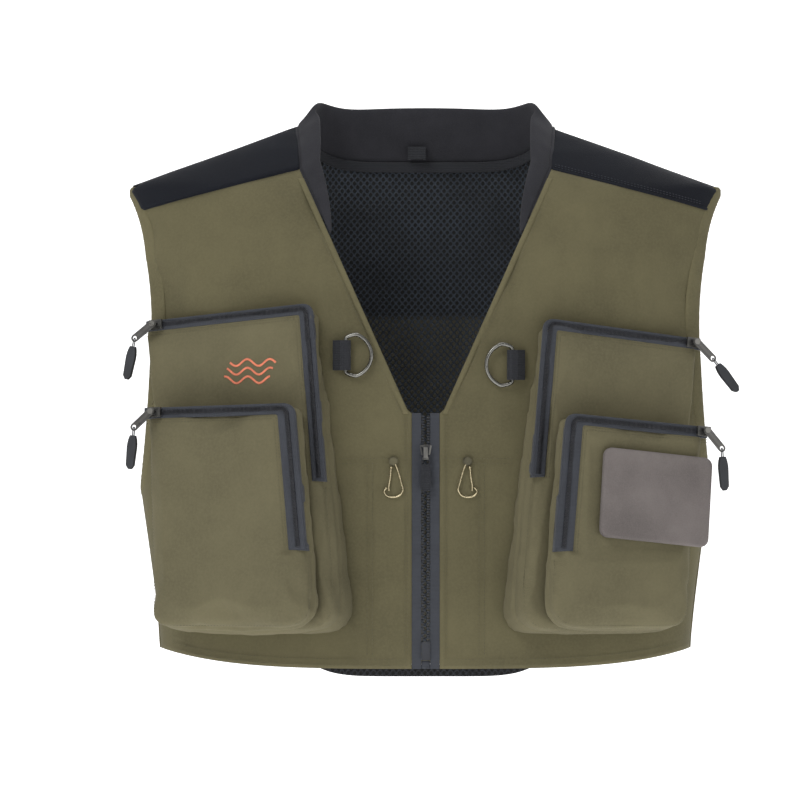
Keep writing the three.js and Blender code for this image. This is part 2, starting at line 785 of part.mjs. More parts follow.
function hookGate() {
  const pivot = new THREE.CylinderGeometry(1.3, 1.3, 2, 12).translate(2.2, 0, 0);
  pivot.translate(0, 0, -hookEye - 3.4);
  const arm = wireAlong(
    [
      [2.4, -hookEye - 3.8],
      [3.2, -hookRise * 0.5],
      [4.4, -hookRise + 8],
      [4.2, -hookRise + 3.4],
    ],
    8,
  );
  return unite(pivot, arm);
}

function hookAnchor() {
  const profile = [
    [0, 0.4],
    [4.6, 0.4],
    [4.6, 1.2],
    [1.2, 1.2],
    [1.2, 4],
    [3.6, 4],
    [3.6, 4.8],
    [0, 4.8],
  ];
  return new THREE.LatheGeometry(profile.map(([r, h]) => new THREE.Vector2(r, h)), 10).rotateX(Math.PI);
}

// ---- Fly patch, in the small pocket's local frame with its middle at the local origin ----
function roundedRectangle(width, height, radius) {
  const shape = new THREE.Shape();
  const x = width / 2;
  const z = height / 2;
  const corners = [[x - radius, radius - z, -90], [x - radius, z - radius, 0]];
  corners.push([radius - x, z - radius, 90], [radius - x, radius - z, 180]);
  for (const [cx, cz, from] of corners) {
    const start = THREE.MathUtils.degToRad(from);
    shape.absarc(cx, cz, radius, start, start + Math.PI / 2, false);
  }
  return shape;
}

const patchBackingOutline = roundedRectangle(patchWidth - 8, patchHeight - 8, 4);
const patchOutline = roundedRectangle(patchWidth, patchHeight, 7);
const backingStart = gap + 0.1;
const foamStart = backingStart + patchBacking + gap;

// ---- Assembly ----
const vest = new THREE.Group();

function addBodyHalf(parent, side) {
  const tag = "_" + side.name;
  parent.add(
    material("front_panel" + tag, frontPanel(), olive),
    material("shoulder_yoke" + tag, yoke(), navy),
    material("armhole_binding" + tag, armholeBinding(), bindingOlive),
    material("front_zip_tape" + tag, zipTape(), slate),
    material("front_zip_teeth" + tag, zipChain(), coil),
  );
}

// The group of a pocket's slider, with its puller and tip at their resting angles.
function addPull(pocket, prefix, p, start, tape, fromEnd, angles) {
  const [, innerTop, outerTop] = insetCorners(pocketCorners(p, start), [0, tape.top / 2, 0, 0]);
  const end = new THREE.Vector3(outerTop[0], 0, outerTop[1]);
  const along = new THREE.Vector3(innerTop[0], 0, innerTop[1]).sub(end).normalize();
  const slider = new THREE.Group();
  slider.name = "joint_" + prefix + "_slider";
  slider.position.copy(end).addScaledVector(along, fromEnd);
  slider.rotation.y = Math.atan2(along.z, -along.x);
  slider.add(material(prefix + "_slider", pocketSlider(), darkMetal));
  pocket.add(slider);
  const swing = new THREE.Group();
  swing.name = "joint_" + prefix + "_puller";
  swing.position.copy(slider.position);
  swing.rotation.y = THREE.MathUtils.degToRad(angles[0]);
  swing.add(material(prefix + "_puller", puller(), darkMetal));
  pocket.add(swing);
  const tip = new THREE.Group();
  tip.name = "joint_" + prefix + "_tip";
  tip.position.set(pullerLength, 0, 0);
  tip.rotation.y = THREE.MathUtils.degToRad(angles[1] - angles[0]);
  tip.add(material(prefix + "_pull_tip", pullTip(), rubber));
  swing.add(tip);
}

// One side's stacked pockets. The large pocket's walls are trimmed to the body behind them.
function addPockets(parent, side) {
  const place = new THREE.Group();
  place.position.set(pocketOrigin.x + side.pocketShift, pocketOrigin.y, pocketOrigin.z);
  place.rotation.z = pocketYaw;
  const pocket = new THREE.Group();
  pocket.name = "frame_large_pocket_" + side.name;
  pocket.rotation.x = -pocketLean;
  place.add(pocket);
  parent.add(place);
  pocket.updateMatrix();
  place.updateMatrix();
  const toBody = new THREE.Matrix4().multiplyMatrices(place.matrix, pocket.matrix);

  const largeName = "large_pocket_" + side.name;
  const large = pocketPieces(side.large, 0, largeTape);
  const walls = solidOf(geometryOf(gusset(large.corners, pocketWallReach)).applyMatrix4(toBody));
  const trimmed = walls.subtract(bodySolid(pocketBodyGap));
  const parts = trimmed.decompose().sort((a, b) => b.volume() - a.volume());
  const wallGeometry = geometryOf(parts[0]).applyMatrix4(toBody.clone().invert());
  pocket.add(
    material(largeName + "_walls", wallGeometry, pocketOlive),
    material(largeName + "_front", large.front, pocketOlive),
    material(largeName + "_zip_tape", large.tape, slate),
    material(largeName + "_zip_coil", large.coil, coil),
  );
  addPull(pocket, largeName, side.large, 0, largeTape, side.largeSlider, side.pullAngles.large);

  const smallName = "small_pocket_" + side.name;
  const smallPocket = new THREE.Group();
  smallPocket.name = "frame_small_pocket_" + side.name;
  smallPocket.position.y = -smallPocketDepth;
  pocket.add(smallPocket);
  const small = pocketPieces(side.small, side.smallStart, smallTape);
  const smallWalls = gusset(small.corners, smallPocketDepth - pocketFront - 2 * gap);
  smallPocket.add(
    material(smallName + "_walls", geometryOf(smallWalls), pocketOlive),
    material(smallName + "_front", small.front, pocketOlive),
    material(smallName + "_zip_tape", small.tape, slate),
    material(smallName + "_zip_coil", small.coil, coil),
  );
  const smallAngles = side.pullAngles.small;
  addPull(smallPocket, smallName, side.small, side.smallStart, smallTape, side.smallSlider, smallAngles);
  return smallPocket;
}

// A group on the front panel's surface, turned to face out of it.
function onFront(parent, x, z, standOff) {
  const slope = (depthAt(x - 10, z) - depthAt(x + 10, z)) / 20;
  const yaw = Math.atan(slope);
  const depth = Math.max(depthAt(x, z), depthAt(x, z - tabHeight / 2));
  const group = new THREE.Group();
  group.position.set(x + Math.sin(yaw) * standOff, -depth - Math.cos(yaw) * standOff, z);
  group.rotation.z = yaw;
  parent.add(group);
  return group;
}

function addRing(parent, side) {
  const group = onFront(parent, side.ring.x, side.ring.z, tabEnd + gap);
  group.name = "joint_d_ring_" + side.name;
  group.add(
    material("d_ring_" + side.name, dRing(), nickel),
    material("d_ring_tab_" + side.name, ringTab(), navy),
  );
}

function addHook(parent, side) {
  const base = onFront(parent, side.hook.x, side.hook.z + hookRise + 2, 0);
  base.add(material("hook_anchor_" + side.name, hookAnchor(), darkMetal));
  const hook = new THREE.Group();
  hook.name = "joint_hook_" + side.name;
  hook.position.y = -2.6;
  hook.add(
    material("snap_hook_" + side.name, hookBody(), wire),
    material("snap_hook_gate_" + side.name, hookGate(), wire),
  );
  base.add(hook);
}

function addFlyPatch(pocket) {
  const patch = new THREE.Group();
  patch.name = "joint_fly_patch";
  patch.position.set(patchCentre.x, 0, patchCentre.z);
  patch.rotation.y = patchTilt;
  const backing = frontPlate(patchBackingOutline, -backingStart - patchBacking, -backingStart);
  const pad = frontPlate(patchOutline, -foamStart - patchFoam, -foamStart);
  patch.add(material("fly_patch_backing", backing, navy), material("fly_patch", pad, foam));
  pocket.add(patch);
}

for (const side of [leftSide, rightSide]) {
  const half = new THREE.Group();
  half.scale.x = side.mirror;
  vest.add(half);
  addBodyHalf(half, side);
  const smallPocket = addPockets(half, side);
  addRing(half, side);
  addHook(half, side);
  if (side === leftSide) addFlyPatch(smallPocket);
}

const bothArmholes = armhole.add(armhole.mirror([1, 0, 0]));
const wideArmhole = armholeSolid(liningArmhole);
const liningArmholes = wideArmhole.add(wideArmhole.mirror([1, 0, 0]));
vest.add(
  material("back_yoke", backYoke(bothArmholes), navy),
  material("back_panel", backPanel(bothArmholes), olive),
  material("back_hem_band", hemBand(), meshBlack),
  material("back_lining", backLining(liningArmholes), meshBlack),
  material("collar", collar(), charcoal),
  material("front_zip_box", zipBox(), darkMetal),
);

const slider = new THREE.Group();
slider.name = "joint_front_slider";
slider.position.set(0, frontFace + tapeThickness / 2, frontSliderHeight);
const pull = new THREE.Group();
pull.name = "joint_front_pull";
const plateFace = chainThickness / 2 + sliderClearance + sliderPlate;
pull.position.set(0, -plateFace - archGap / 2, -3);
slider.add(material("front_zip_slider", frontSlider(), darkMetal), pull);
pull.add(material("front_zip_pull", frontPull(), navy));
vest.add(slider);

// The hang loop stands on the collar's inner face; the vest's origin is the loop's middle.
const loopBase = collarPoint(0, 0.12);
const loopTop = collarPoint(0, 0.12 + loopTall / collarBackHeight);
const loop = new THREE.Group();
const loopSeat = Math.min(loopBase.y, loopTop.y) - collarThickness / 2 - 2 * gap;
loop.position.set(loopOffset, loopSeat, loopBase.z + 4);
loop.add(material("hang_loop", hangLoop(), meshBlack));
vest.add(loop);
vest.position.set(-loop.position.x, -loop.position.y + loopDepth / 2, -loop.position.z);

const group = new THREE.Group();
group.name = "fishing_vest";
group.add(vest);

export default group;
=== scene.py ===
# The look of the fishing vest: fabric panels, padded pockets, zips, hardware and stage,
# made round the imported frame. Sizes are in millimetres in the body's own axes, where x runs
# to the wearer's left, y to the back and z is the height above the back hem.
import math

import bmesh
import bpy
import numpy as np
from mathutils import Matrix, Vector, noise
from mathutils.bvhtree import BVHTree


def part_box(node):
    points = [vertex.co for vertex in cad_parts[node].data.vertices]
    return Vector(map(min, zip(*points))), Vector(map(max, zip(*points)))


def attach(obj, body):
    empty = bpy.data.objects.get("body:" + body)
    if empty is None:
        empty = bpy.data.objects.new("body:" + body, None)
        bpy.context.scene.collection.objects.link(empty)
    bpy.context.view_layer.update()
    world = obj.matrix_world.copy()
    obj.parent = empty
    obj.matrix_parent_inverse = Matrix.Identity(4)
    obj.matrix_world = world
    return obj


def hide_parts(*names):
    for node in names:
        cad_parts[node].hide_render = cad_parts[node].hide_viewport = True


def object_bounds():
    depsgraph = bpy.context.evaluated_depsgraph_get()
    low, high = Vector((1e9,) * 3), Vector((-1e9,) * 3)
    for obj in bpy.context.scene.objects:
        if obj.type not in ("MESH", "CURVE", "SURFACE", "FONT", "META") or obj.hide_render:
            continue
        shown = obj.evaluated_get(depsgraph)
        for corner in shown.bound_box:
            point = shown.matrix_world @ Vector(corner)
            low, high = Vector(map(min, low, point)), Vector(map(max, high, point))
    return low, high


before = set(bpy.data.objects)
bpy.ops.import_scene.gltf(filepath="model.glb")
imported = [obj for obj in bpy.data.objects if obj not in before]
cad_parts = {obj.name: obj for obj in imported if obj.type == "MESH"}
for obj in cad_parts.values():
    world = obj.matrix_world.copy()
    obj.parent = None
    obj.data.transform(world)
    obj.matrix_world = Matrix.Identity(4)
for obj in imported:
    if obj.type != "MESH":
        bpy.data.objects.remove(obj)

bl_info = {
    "name": "Fishing Vest",
    "version": (1, 0, 0),
    "blender": (4, 5, 0),
    "location": "3D View > Sidebar > Vest",
    "description": "Builds a fishing vest of cloth, padded pockets, zips and small metal parts",
    "category": "Object",
}

CAD_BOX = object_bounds()
MM = 0.001
SIDES = {"left": 1, "right": -1}

# ---- Where the body stands in the frame ----
ZIP_TOP = 251
BODY_HALF_DEPTH = 115
left_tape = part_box("front_zip_tape_left")
right_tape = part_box("front_zip_tape_right")
ORIGIN = Vector(
    (
        (left_tape[0].x + right_tape[1].x) / 2,
        left_tape[0].y + BODY_HALF_DEPTH * MM,
        left_tape[1].z - ZIP_TOP * MM,
    )
)

# ---- The body's surface ----
HEM_HALF_WIDTH = 250
CHEST_HALF_WIDTH = 280
CHEST_LEVEL = 300
SECTION_POWER = 2.1
RIDGE_HEIGHT = 523
NECK_HALF_WIDTH = 122
NECK_BASE_HALF = 119
NECK_BASE_HEIGHT = 482
RIDGE_FALL = 0.361
DEPTH_BY_DROP = ([0, 8, 23, 43, 73, 123, 223], [0.1, 0.26, 0.43, 0.57, 0.75, 0.92, 1])
ZIP_HALF_GAP = 12.8
NECK_POINT_HALF_GAP = 16
BACK_SEAM_HEIGHT = 346
BACK_SEAM_INNER = 100
HEM_BAND_HALF_WIDTH = 105
UNDERARM_HEIGHT = 175
ARMHOLE_HALF_WIDTH = 55
SHOULDER_TIP = RIDGE_HEIGHT - RIDGE_FALL * (CHEST_HALF_WIDTH - NECK_HALF_WIDTH)
ARMHOLE_MIDDLE = (UNDERARM_HEIGHT + SHOULDER_TIP) / 2
ARMHOLE_HALF_HEIGHT = (SHOULDER_TIP - UNDERARM_HEIGHT) / 2
SEAM_GAP = 0.3
FABRIC = 2.0
LINING_INSET = 3.0
LINING_SETBACK = 2
LINING_TOP_GAP = 4
LINING_THICKNESS = 0.6
FORWARD = (0, -1, 0)
BACKWARD = (0, 1, 0)

# ---- Pockets, in each side's pocket axes: x outwards, z up and the large front at y = 0 ----
POCKET_ORIGIN = Vector((116, -153, 47))
POCKET_YAW = math.radians(22)
POCKET_LEAN = math.radians(5)
SMALL_DEPTH = 30
CORNER_RADII = (34, 12, 9, 20)
TAPE_TOP = 11
TAPE_SIDE = {"large": 14, "small": 18}
TAPE_DEEPEST = 1.3
POCKETS = {
    "left": {
        "shift": 4,
        "large": dict(start=0, inner=295, outer=276, top=160, bottom=135, flare=36, drop=150),
        "small": dict(start=6, inner=203, outer=190, top=150, bottom=125, flare=25, drop=130),
    },
    "right": {
        "shift": 0,
        "large": dict(start=0, inner=309, outer=293, top=170, bottom=150, flare=36, drop=168),
        "small": dict(start=2, inner=212, outer=208, top=155, bottom=143, flare=27, drop=138),
    },
}
PATCH_CENTRE = (92, 122.5)
PATCH_SIZE = (110, 84)
PATCH_TILT = math.radians(5.6)


def half_width(z):
    share = min(max(z / CHEST_LEVEL, 0), 1)
    smooth = share * share * (3 - 2 * share)
    side = HEM_HALF_WIDTH + (CHEST_HALF_WIDTH - HEM_HALF_WIDTH) * smooth
    return min(side, NECK_HALF_WIDTH + (RIDGE_HEIGHT - z) / RIDGE_FALL)


def half_depth(z):
    return BODY_HALF_DEPTH * float(np.interp(RIDGE_HEIGHT - z, *DEPTH_BY_DROP))


def depth_at(x, z):
    share = min(abs(x) / max(half_width(z), 1e-6), 1)
    return half_depth(z) * (1 - share**SECTION_POWER) ** (1 / SECTION_POWER)


def width_at(y, z):
    share = min(abs(y) / max(half_depth(z), 1e-6), 1)
    return half_width(z) * (1 - share**SECTION_POWER) ** (1 / SECTION_POWER)


def neck_edge(z):
    if z <= NECK_BASE_HEIGHT:
        share = (z - ZIP_TOP) / (NECK_BASE_HEIGHT - ZIP_TOP)
        return NECK_POINT_HALF_GAP + (NECK_BASE_HALF - NECK_POINT_HALF_GAP) * share
    share = min((z - NECK_BASE_HEIGHT) / (RIDGE_HEIGHT - NECK_BASE_HEIGHT), 1)
    return NECK_BASE_HALF + (NECK_HALF_WIDTH - NECK_BASE_HALF) * share


def back_neck(x):
    return 490 + 33 * (abs(x) / NECK_HALF_WIDTH) ** 6


def front_hem(x):
    return 12 + 18 * (abs(x) / HEM_HALF_WIDTH) ** 4


def front_seam(x):
    return NECK_BASE_HEIGHT - 0.25 * (abs(x) - NECK_BASE_HALF)


def back_seam(x):
    return 500 - 0.33 * (abs(x) - BACK_SEAM_INNER)


def back_top(x):
    return back_neck(x) if abs(x) < BACK_SEAM_INNER else back_seam(x)


def lining_top(x):
    return back_top(x) - LINING_TOP_GAP


def in_frame(x, y, z):
    return Vector((x, y, z)) * MM + ORIGIN


# ---- Mesh helpers ----
TUBE_POINT = 0.6


def mesh_object(name, points, faces, material, uvs=None):
    mesh = bpy.data.meshes.new(name)
    mesh.from_pydata([tuple(p) for p in points], [], faces)
    mesh.validate()
    if uvs is not None:
        layer = mesh.uv_layers.new(name="cloth")
        for loop in mesh.loops:
            layer.data[loop.index].uv = uvs[loop.vertex_index]
    mesh.shade_smooth()
    if material is not None:
        mesh.materials.append(material)
    obj = bpy.data.objects.new(name, mesh)
    bpy.context.scene.collection.objects.link(obj)
    return obj


def applied(obj):
    """Bakes the object's modifiers into its mesh."""
    bpy.context.view_layer.update()
    graph = bpy.context.evaluated_depsgraph_get()
    baked = bpy.data.meshes.new_from_object(obj.evaluated_get(graph), depsgraph=graph)
    obj.modifiers.clear()
    obj.data = baked
    return obj


def face_outwards(obj):
    work = bmesh.new()
    work.from_mesh(obj.data)
    bmesh.ops.recalc_face_normals(work, faces=work.faces)
    if work.calc_volume(signed=True) < 0:
        bmesh.ops.reverse_faces(work, faces=work.faces)
    work.to_mesh(obj.data)
    work.free()
    return obj


def grid_faces(columns, rows, wrap_columns=False, wrap_rows=False):
    """Quads of a grid of rows x columns points, numbered row by row."""
    faces = []
    for j in range(rows if wrap_rows else rows - 1):
        for i in range(columns if wrap_columns else columns - 1):
            a = j * columns + i
            b = j * columns + (i + 1) % columns
            c = ((j + 1) % rows) * columns + (i + 1) % columns
            d = ((j + 1) % rows) * columns + i
            faces.append((a, b, c, d))
    return faces


def end_caps(columns, rows):
    """The two faces that close a pipe of rows of columns points."""
    last = (rows - 1) * columns
    return [tuple(range(columns)), tuple(last + i for i in reversed(range(columns)))]


def two_sided_faces(columns, rows):
    """Faces of a thick sheet: the outer grid's points come first, then the inner grid's."""
    count = columns * rows
    faces = grid_faces(columns, rows)
    faces += [tuple(count + i for i in reversed(face)) for face in faces]
    rim = list(range(columns))
    rim += [j * columns + columns - 1 for j in range(1, rows)]
    rim += [(rows - 1) * columns + i for i in range(columns - 2, -1, -1)]
    rim += [j * columns for j in range(rows - 2, 0, -1)]
    return faces + [(b, a, a + count, b + count) for a, b in zip(rim, rim[1:] + rim[:1])]


def tube(name, points, radius, material, sides, closed=False):
    """A round bar along points in frame metres, with short pointed ends when it's open."""
    count = len(points)
    tangents = []
    for i in range(count):
        if closed:
            step = points[(i + 1) % count] - points[i - 1]
        else:
            step = points[min(i + 1, count - 1)] - points[max(i - 1, 0)]
        tangents.append(step.normalized())
    side = tangents[0].orthogonal().normalized()
    verts = []
    for i in range(count):
        side = (side - tangents[i] * side.dot(tangents[i])).normalized()
        up = tangents[i].cross(side)
        for a in turns(sides):
            verts.append(points[i] + side * (radius * math.cos(a)) + up * (radius * math.sin(a)))
    faces = grid_faces(sides, count, wrap_columns=True, wrap_rows=closed)
    if not closed:
        point = radius * TUBE_POINT
        verts += [points[0] - tangents[0] * point, points[-1] + tangents[-1] * point]
        tip, tail = len(verts) - 2, len(verts) - 1
        last = (count - 1) * sides
        faces += [((i + 1) % sides, i, tip) for i in range(sides)]
        faces += [(last + i, last + (i + 1) % sides, tail) for i in range(sides)]
    return face_outwards(mesh_object(name, verts, faces, material))


def turns(count):
    return [2 * math.pi * i / count for i in range(count)]


def smooth_path(points, count, closed=False):
    """count points on a centripetal Catmull-Rom curve through the given points."""
    size = len(points)
    spans = size if closed else size - 1

    def point(i):
        if closed:
            return points[i % size]
        if i < 0:
            return points[0] * 2 - points[1]
        if i >= size:
            return points[-1] * 2 - points[-2]
        return points[i]

    route = []
    for k in range(count):
        u = spans * k / (count if closed else count - 1)
        i = min(int(u), spans - 1)
        t = u - i
        p = [point(i + j) for j in (-1, 0, 1, 2)]
        knots = [0.0]
        for a, b in zip(p, p[1:]):
            knots.append(knots[-1] + max((b - a).length, 1e-6) ** 0.5)
        x = knots[1] + (knots[2] - knots[1]) * t
        level = list(p)
        for width in (1, 2, 3):
            following = []
            for j in range(len(level) - 1):
                low, high = (knots[1], knots[2]) if width == 3 else (knots[j], knots[j + width])
                share = (x - low) / (high - low)
                following.append(level[j] * (1 - share) + level[j + 1] * share)
            level = following
        route.append(level[0])
    return route


def placed(obj, body, *nodes, slot=None):
    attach(obj, body)
    if nodes:
        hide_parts(*nodes)


# ---- Materials ----
def srgb(red, green, blue):
    def linear(value):
        value /= 255
        return value / 12.92 if value <= 0.04045 else ((value + 0.055) / 1.055) ** 2.4

    return (linear(red), linear(green), linear(blue), 1)


class Finish:
    """A material under construction: nodes are added by short calls and linked by value."""

    def __init__(self, name, colour, roughness, metallic=0.0, sheen=0.0):
        self.material = bpy.data.materials.new(name)
        self.material.use_nodes = True
        self.nodes = self.material.node_tree.nodes
        self.links = self.material.node_tree.links
        self.shader = self.nodes["Principled BSDF"]
        self.shader.inputs["Base Color"].default_value = colour
        self.shader.inputs["Roughness"].default_value = roughness
        self.shader.inputs["Metallic"].default_value = metallic
        self.shader.inputs["Sheen Weight"].default_value = sheen
        self.shader.inputs["Sheen Roughness"].default_value = 0.5
        self.material.diffuse_color = colour

    def add(self, kind, **settings):
        node = self.nodes.new("ShaderNode" + kind)
        for key, value in settings.items():
            setattr(node, key, value)
        return node

    def feed(self, node, socket, value):
        target = node.inputs[socket]
        if isinstance(value, bpy.types.NodeSocket):
            self.links.new(value, target)
        else:
            target.default_value = value

    def maths(self, operation, a, b=0.0):
        node = self.add("Math", operation=operation)
        self.feed(node, 0, a)
        self.feed(node, 1, b)
        return node.outputs[0]

    def mix(self, factor, a, b):
        node = self.add("Mix", data_type="RGBA", blend_type="MIX")
        self.feed(node, 0, factor)
        self.feed(node, 6, a)
        self.feed(node, 7, b)
        return node.outputs[2]

    def coordinates(self, uv=False, turn=0.0):
        source = self.add("TexCoord").outputs["UV" if uv else "Object"]
        mapping = self.add("Mapping")
        mapping.inputs["Rotation"].default_value = (0, 0, -turn)
        self.links.new(source, mapping.inputs["Vector"])
        return mapping.outputs[0]

    def noise(self, where, scale, detail=3.0, roughness=0.55):
        node = self.add("TexNoise")
        self.links.new(where, node.inputs["Vector"])
        node.inputs["Scale"].default_value = scale
        node.inputs["Detail"].default_value = detail
        node.inputs["Roughness"].default_value = roughness
        return node.outputs["Fac"]

    def ramp(self, value, low, high, out_low=0.0, out_high=1.0):
        node = self.add("MapRange")
        self.links.new(value, node.inputs[0])
        for index, number in enumerate((low, high, out_low, out_high), start=1):
            node.inputs[index].default_value = number
        return node.outputs[0]

    def bump(self, height, distance, strength):
        node = self.add("Bump")
        node.inputs["Distance"].default_value = distance
        node.inputs["Strength"].default_value = strength
        self.links.new(height, node.inputs["Height"])
        self.links.new(node.outputs[0], self.shader.inputs["Normal"])

    def wave(self, value, pitch):
        return self.maths("SINE", self.maths("MULTIPLY", value, 2 * math.pi / pitch))

    def shade(self, colour):
        self.links.new(colour, self.shader.inputs["Base Color"])

    def dull(self, pattern, low, high):
        """Lets a pattern move the roughness between two values."""
        self.links.new(self.ramp(pattern, 0.3, 0.7, low, high), self.shader.inputs["Roughness"])


def scaled(colour, factor):
    return tuple(min(channel * factor, 1) for channel in colour[:3]) + (1,)


CLOTH_SHINE = 0.15


def woven(name, colour, pitch, turn=0.0, uv=False, depth=0.00012, worn=0.0):
    """Plain-woven cloth: crossed threads of one pitch, with faded patches, slubs and painted shade between
    the threads.
    """
    patchy, roughness = 0.16, 0.88
    cloth = Finish(name, colour, roughness, sheen=0.02)
    cloth.shader.inputs["Specular IOR Level"].default_value = CLOTH_SHINE
    where = cloth.coordinates(uv, turn)
    split = cloth.add("SeparateXYZ")
    cloth.links.new(where, split.inputs[0])
    if uv:
        across, along = split.outputs[0], split.outputs[1]
    else:
        across = cloth.maths("ADD", split.outputs[0], split.outputs[1])
        along = split.outputs[2]
    over = cloth.maths("MULTIPLY", cloth.wave(across, pitch), cloth.wave(along, pitch))
    threads = cloth.ramp(over, -1, 1)
    place = cloth.coordinates()
    patches = cloth.noise(place, 14, 4, 0.6)
    slubs = cloth.noise(place, 420, 2)
    faded, deep = scaled(colour, 1 + patchy), scaled(colour, 1 - patchy)
    tone = cloth.mix(cloth.ramp(patches, 0.3, 0.7), deep, faded)
    tone = cloth.mix(cloth.ramp(slubs, 0.35, 0.75, 0, 0.35), tone, scaled(colour, 1.35))
    # Darker between the threads: painted shade in the weave's hollows.
    tone = cloth.mix(cloth.ramp(threads, 0.0, 0.55, 0.3, 0.0), tone, scaled(colour, 0.55))
    if worn:
        edges = cloth.add("NewGeometry").outputs["Pointiness"]
        tone = cloth.mix(cloth.ramp(edges, 0.52, 0.6, 0, worn), tone, scaled(colour, 1.8))
    cloth.shade(tone)
    height = cloth.maths("ADD", threads, cloth.maths("MULTIPLY", slubs, 0.7))
    cloth.bump(height, depth, 0.8)
    cloth.dull(patches, roughness - 0.05, roughness + 0.06)
    return cloth.material


def ribbed(name, colour, pitch, depth=0.0002):
    """Narrow woven tape and webbing, with ribs across and fine threads along, painted shade in their hollows
    and painted highlight on their tops.
    """
    tape = Finish(name, colour, 0.8, sheen=0.08)
    split = tape.add("SeparateXYZ")
    tape.links.new(tape.coordinates(), split.inputs[0])
    ribs = tape.ramp(tape.wave(split.outputs[2], pitch), -1, 1)
    cross = tape.maths("ADD", split.outputs[0], split.outputs[1])
    threads = tape.ramp(tape.wave(cross, pitch * 0.8), -1, 1)
    height = tape.maths("ADD", ribs, tape.maths("MULTIPLY", threads, 0.6))
    patches = tape.noise(tape.coordinates(), 60, 3)
    # Colour follows the rib height: painted shade in the hollows, painted highlight on the rib tops.
    tone = tape.mix(tape.ramp(height, 0.1, 1.4), scaled(colour, 0.6), scaled(colour, 1.3))
    tape.shade(tape.mix(tape.ramp(patches, 0.35, 0.7, 0, 0.3), tone, scaled(colour, 1.6)))
    tape.bump(height, depth, 0.9)
    return tape.material


def brushed_cloth(name, colour, fuzz=0.00025, speckle=0.35):
    """Napped knit and felt: no threads show, only fuzz, fibres and soft patches."""
    knit = Finish(name, colour, 0.95, sheen=0.06)
    knit.shader.inputs["Specular IOR Level"].default_value = CLOTH_SHINE
    place = knit.coordinates()
    fibres = knit.noise(place, 900, 4, 0.7)
    patches = knit.noise(place, 22, 3)
    scuffs = knit.noise(place, 90, 5, 0.7)
    tone = knit.mix(knit.ramp(patches, 0.3, 0.7), scaled(colour, 0.85), scaled(colour, 1.18))
    tone = knit.mix(knit.ramp(fibres, 0.4, 0.7, 0, speckle), tone, scaled(colour, 1.7))
    tone = knit.mix(knit.ramp(scuffs, 0.55, 0.75, 0, 0.3), tone, scaled(colour, 1.4))
    knit.shade(tone)
    knit.bump(knit.maths("ADD", fibres, knit.maths("MULTIPLY", scuffs, 1.5)), fuzz, 0.8)
    return knit.material


def diamond_mesh(name, thread, behind, painted_shade_below_seam=None, seam=0.0, pitch=0.0062):
    """Open knitted mesh: bright threads round diamond holes painted with what lies behind in shade (painted
    shade; the holes are not cut).
    """
    net = Finish(name, thread, 0.85, sheen=0.1)
    split = net.add("SeparateXYZ")
    net.links.new(net.coordinates(True), split.inputs[0])
    u = net.maths("MULTIPLY", split.outputs[0], math.pi / pitch)
    v = net.maths("MULTIPLY", split.outputs[1], math.pi / (pitch * 1.15))
    first = net.maths("ABSOLUTE", net.maths("SINE", net.maths("ADD", u, v)))
    second = net.maths("ABSOLUTE", net.maths("SINE", net.maths("SUBTRACT", u, v)))
    hole = net.maths("MULTIPLY", first, second)
    open_part = net.ramp(hole, 0.25, 0.55)
    place = net.coordinates()
    patches = net.noise(place, 18, 4)
    # The holes' colour is painted shade of the cloth behind, with a second painted shade below the seam.
    seen = behind
    if painted_shade_below_seam is not None:
        height = net.add("SeparateXYZ")
        net.links.new(place, height.inputs[0])
        below = net.ramp(height.outputs[2], seam - 0.004, seam + 0.004, 1, 0)
        seen = net.mix(below, behind, painted_shade_below_seam)
    tone = net.mix(net.ramp(patches, 0.35, 0.7), scaled(thread, 0.75), scaled(thread, 1.35))
    net.shade(net.mix(open_part, tone, seen))
    net.bump(net.ramp(hole, 0.1, 0.6, 1, 0), 0.0008, 1.0)
    return net.material


def metal(name, colour, roughness, worn=None, metallic=1.0):
    """Small cast or drawn metal, with fine scratches and rubbed edges."""
    cast = Finish(name, colour, roughness, metallic)
    place = cast.coordinates()
    cloud = cast.noise(place, 160, 5, 0.65)
    fine = cast.noise(place, 1400, 2)
    tone = cast.mix(cast.ramp(cloud, 0.35, 0.7), scaled(colour, 0.8), scaled(colour, 1.15))
    if worn is not None:
        edges = cast.add("NewGeometry").outputs["Pointiness"]
        tone = cast.mix(cast.ramp(edges, 0.53, 0.62, 0, 0.8), tone, worn)
    cast.shade(tone)
    cast.dull(cloud, roughness * 0.75, roughness * 1.4)
    cast.bump(fine, 0.00003, 0.3)
    return cast.material


def moulded(name, colour, roughness):
    """Rubber and plastic with a fine moulded grain and handled, slightly paler patches."""
    plain = Finish(name, colour, roughness)
    place = plain.coordinates()
    speck = plain.noise(place, 1100, 3, 0.6)
    handled = plain.noise(place, 70, 4)
    plain.shade(plain.mix(plain.ramp(handled, 0.35, 0.7), scaled(colour, 0.8), scaled(colour, 1.5)))
    plain.dull(handled, roughness - 0.08, roughness + 0.1)
    plain.bump(speck, 0.00006, 0.7)
    return plain.material


OLIVE = srgb(96, 91, 68)
POCKET_OLIVE = srgb(101, 96, 74)
NAVY = srgb(24, 26, 32)
CHARCOAL = srgb(44, 44, 48)
SLATE = srgb(50, 53, 60)
BACK_SEAM_LEVEL = ORIGIN.z + BACK_SEAM_HEIGHT * MM

LOOK = {}


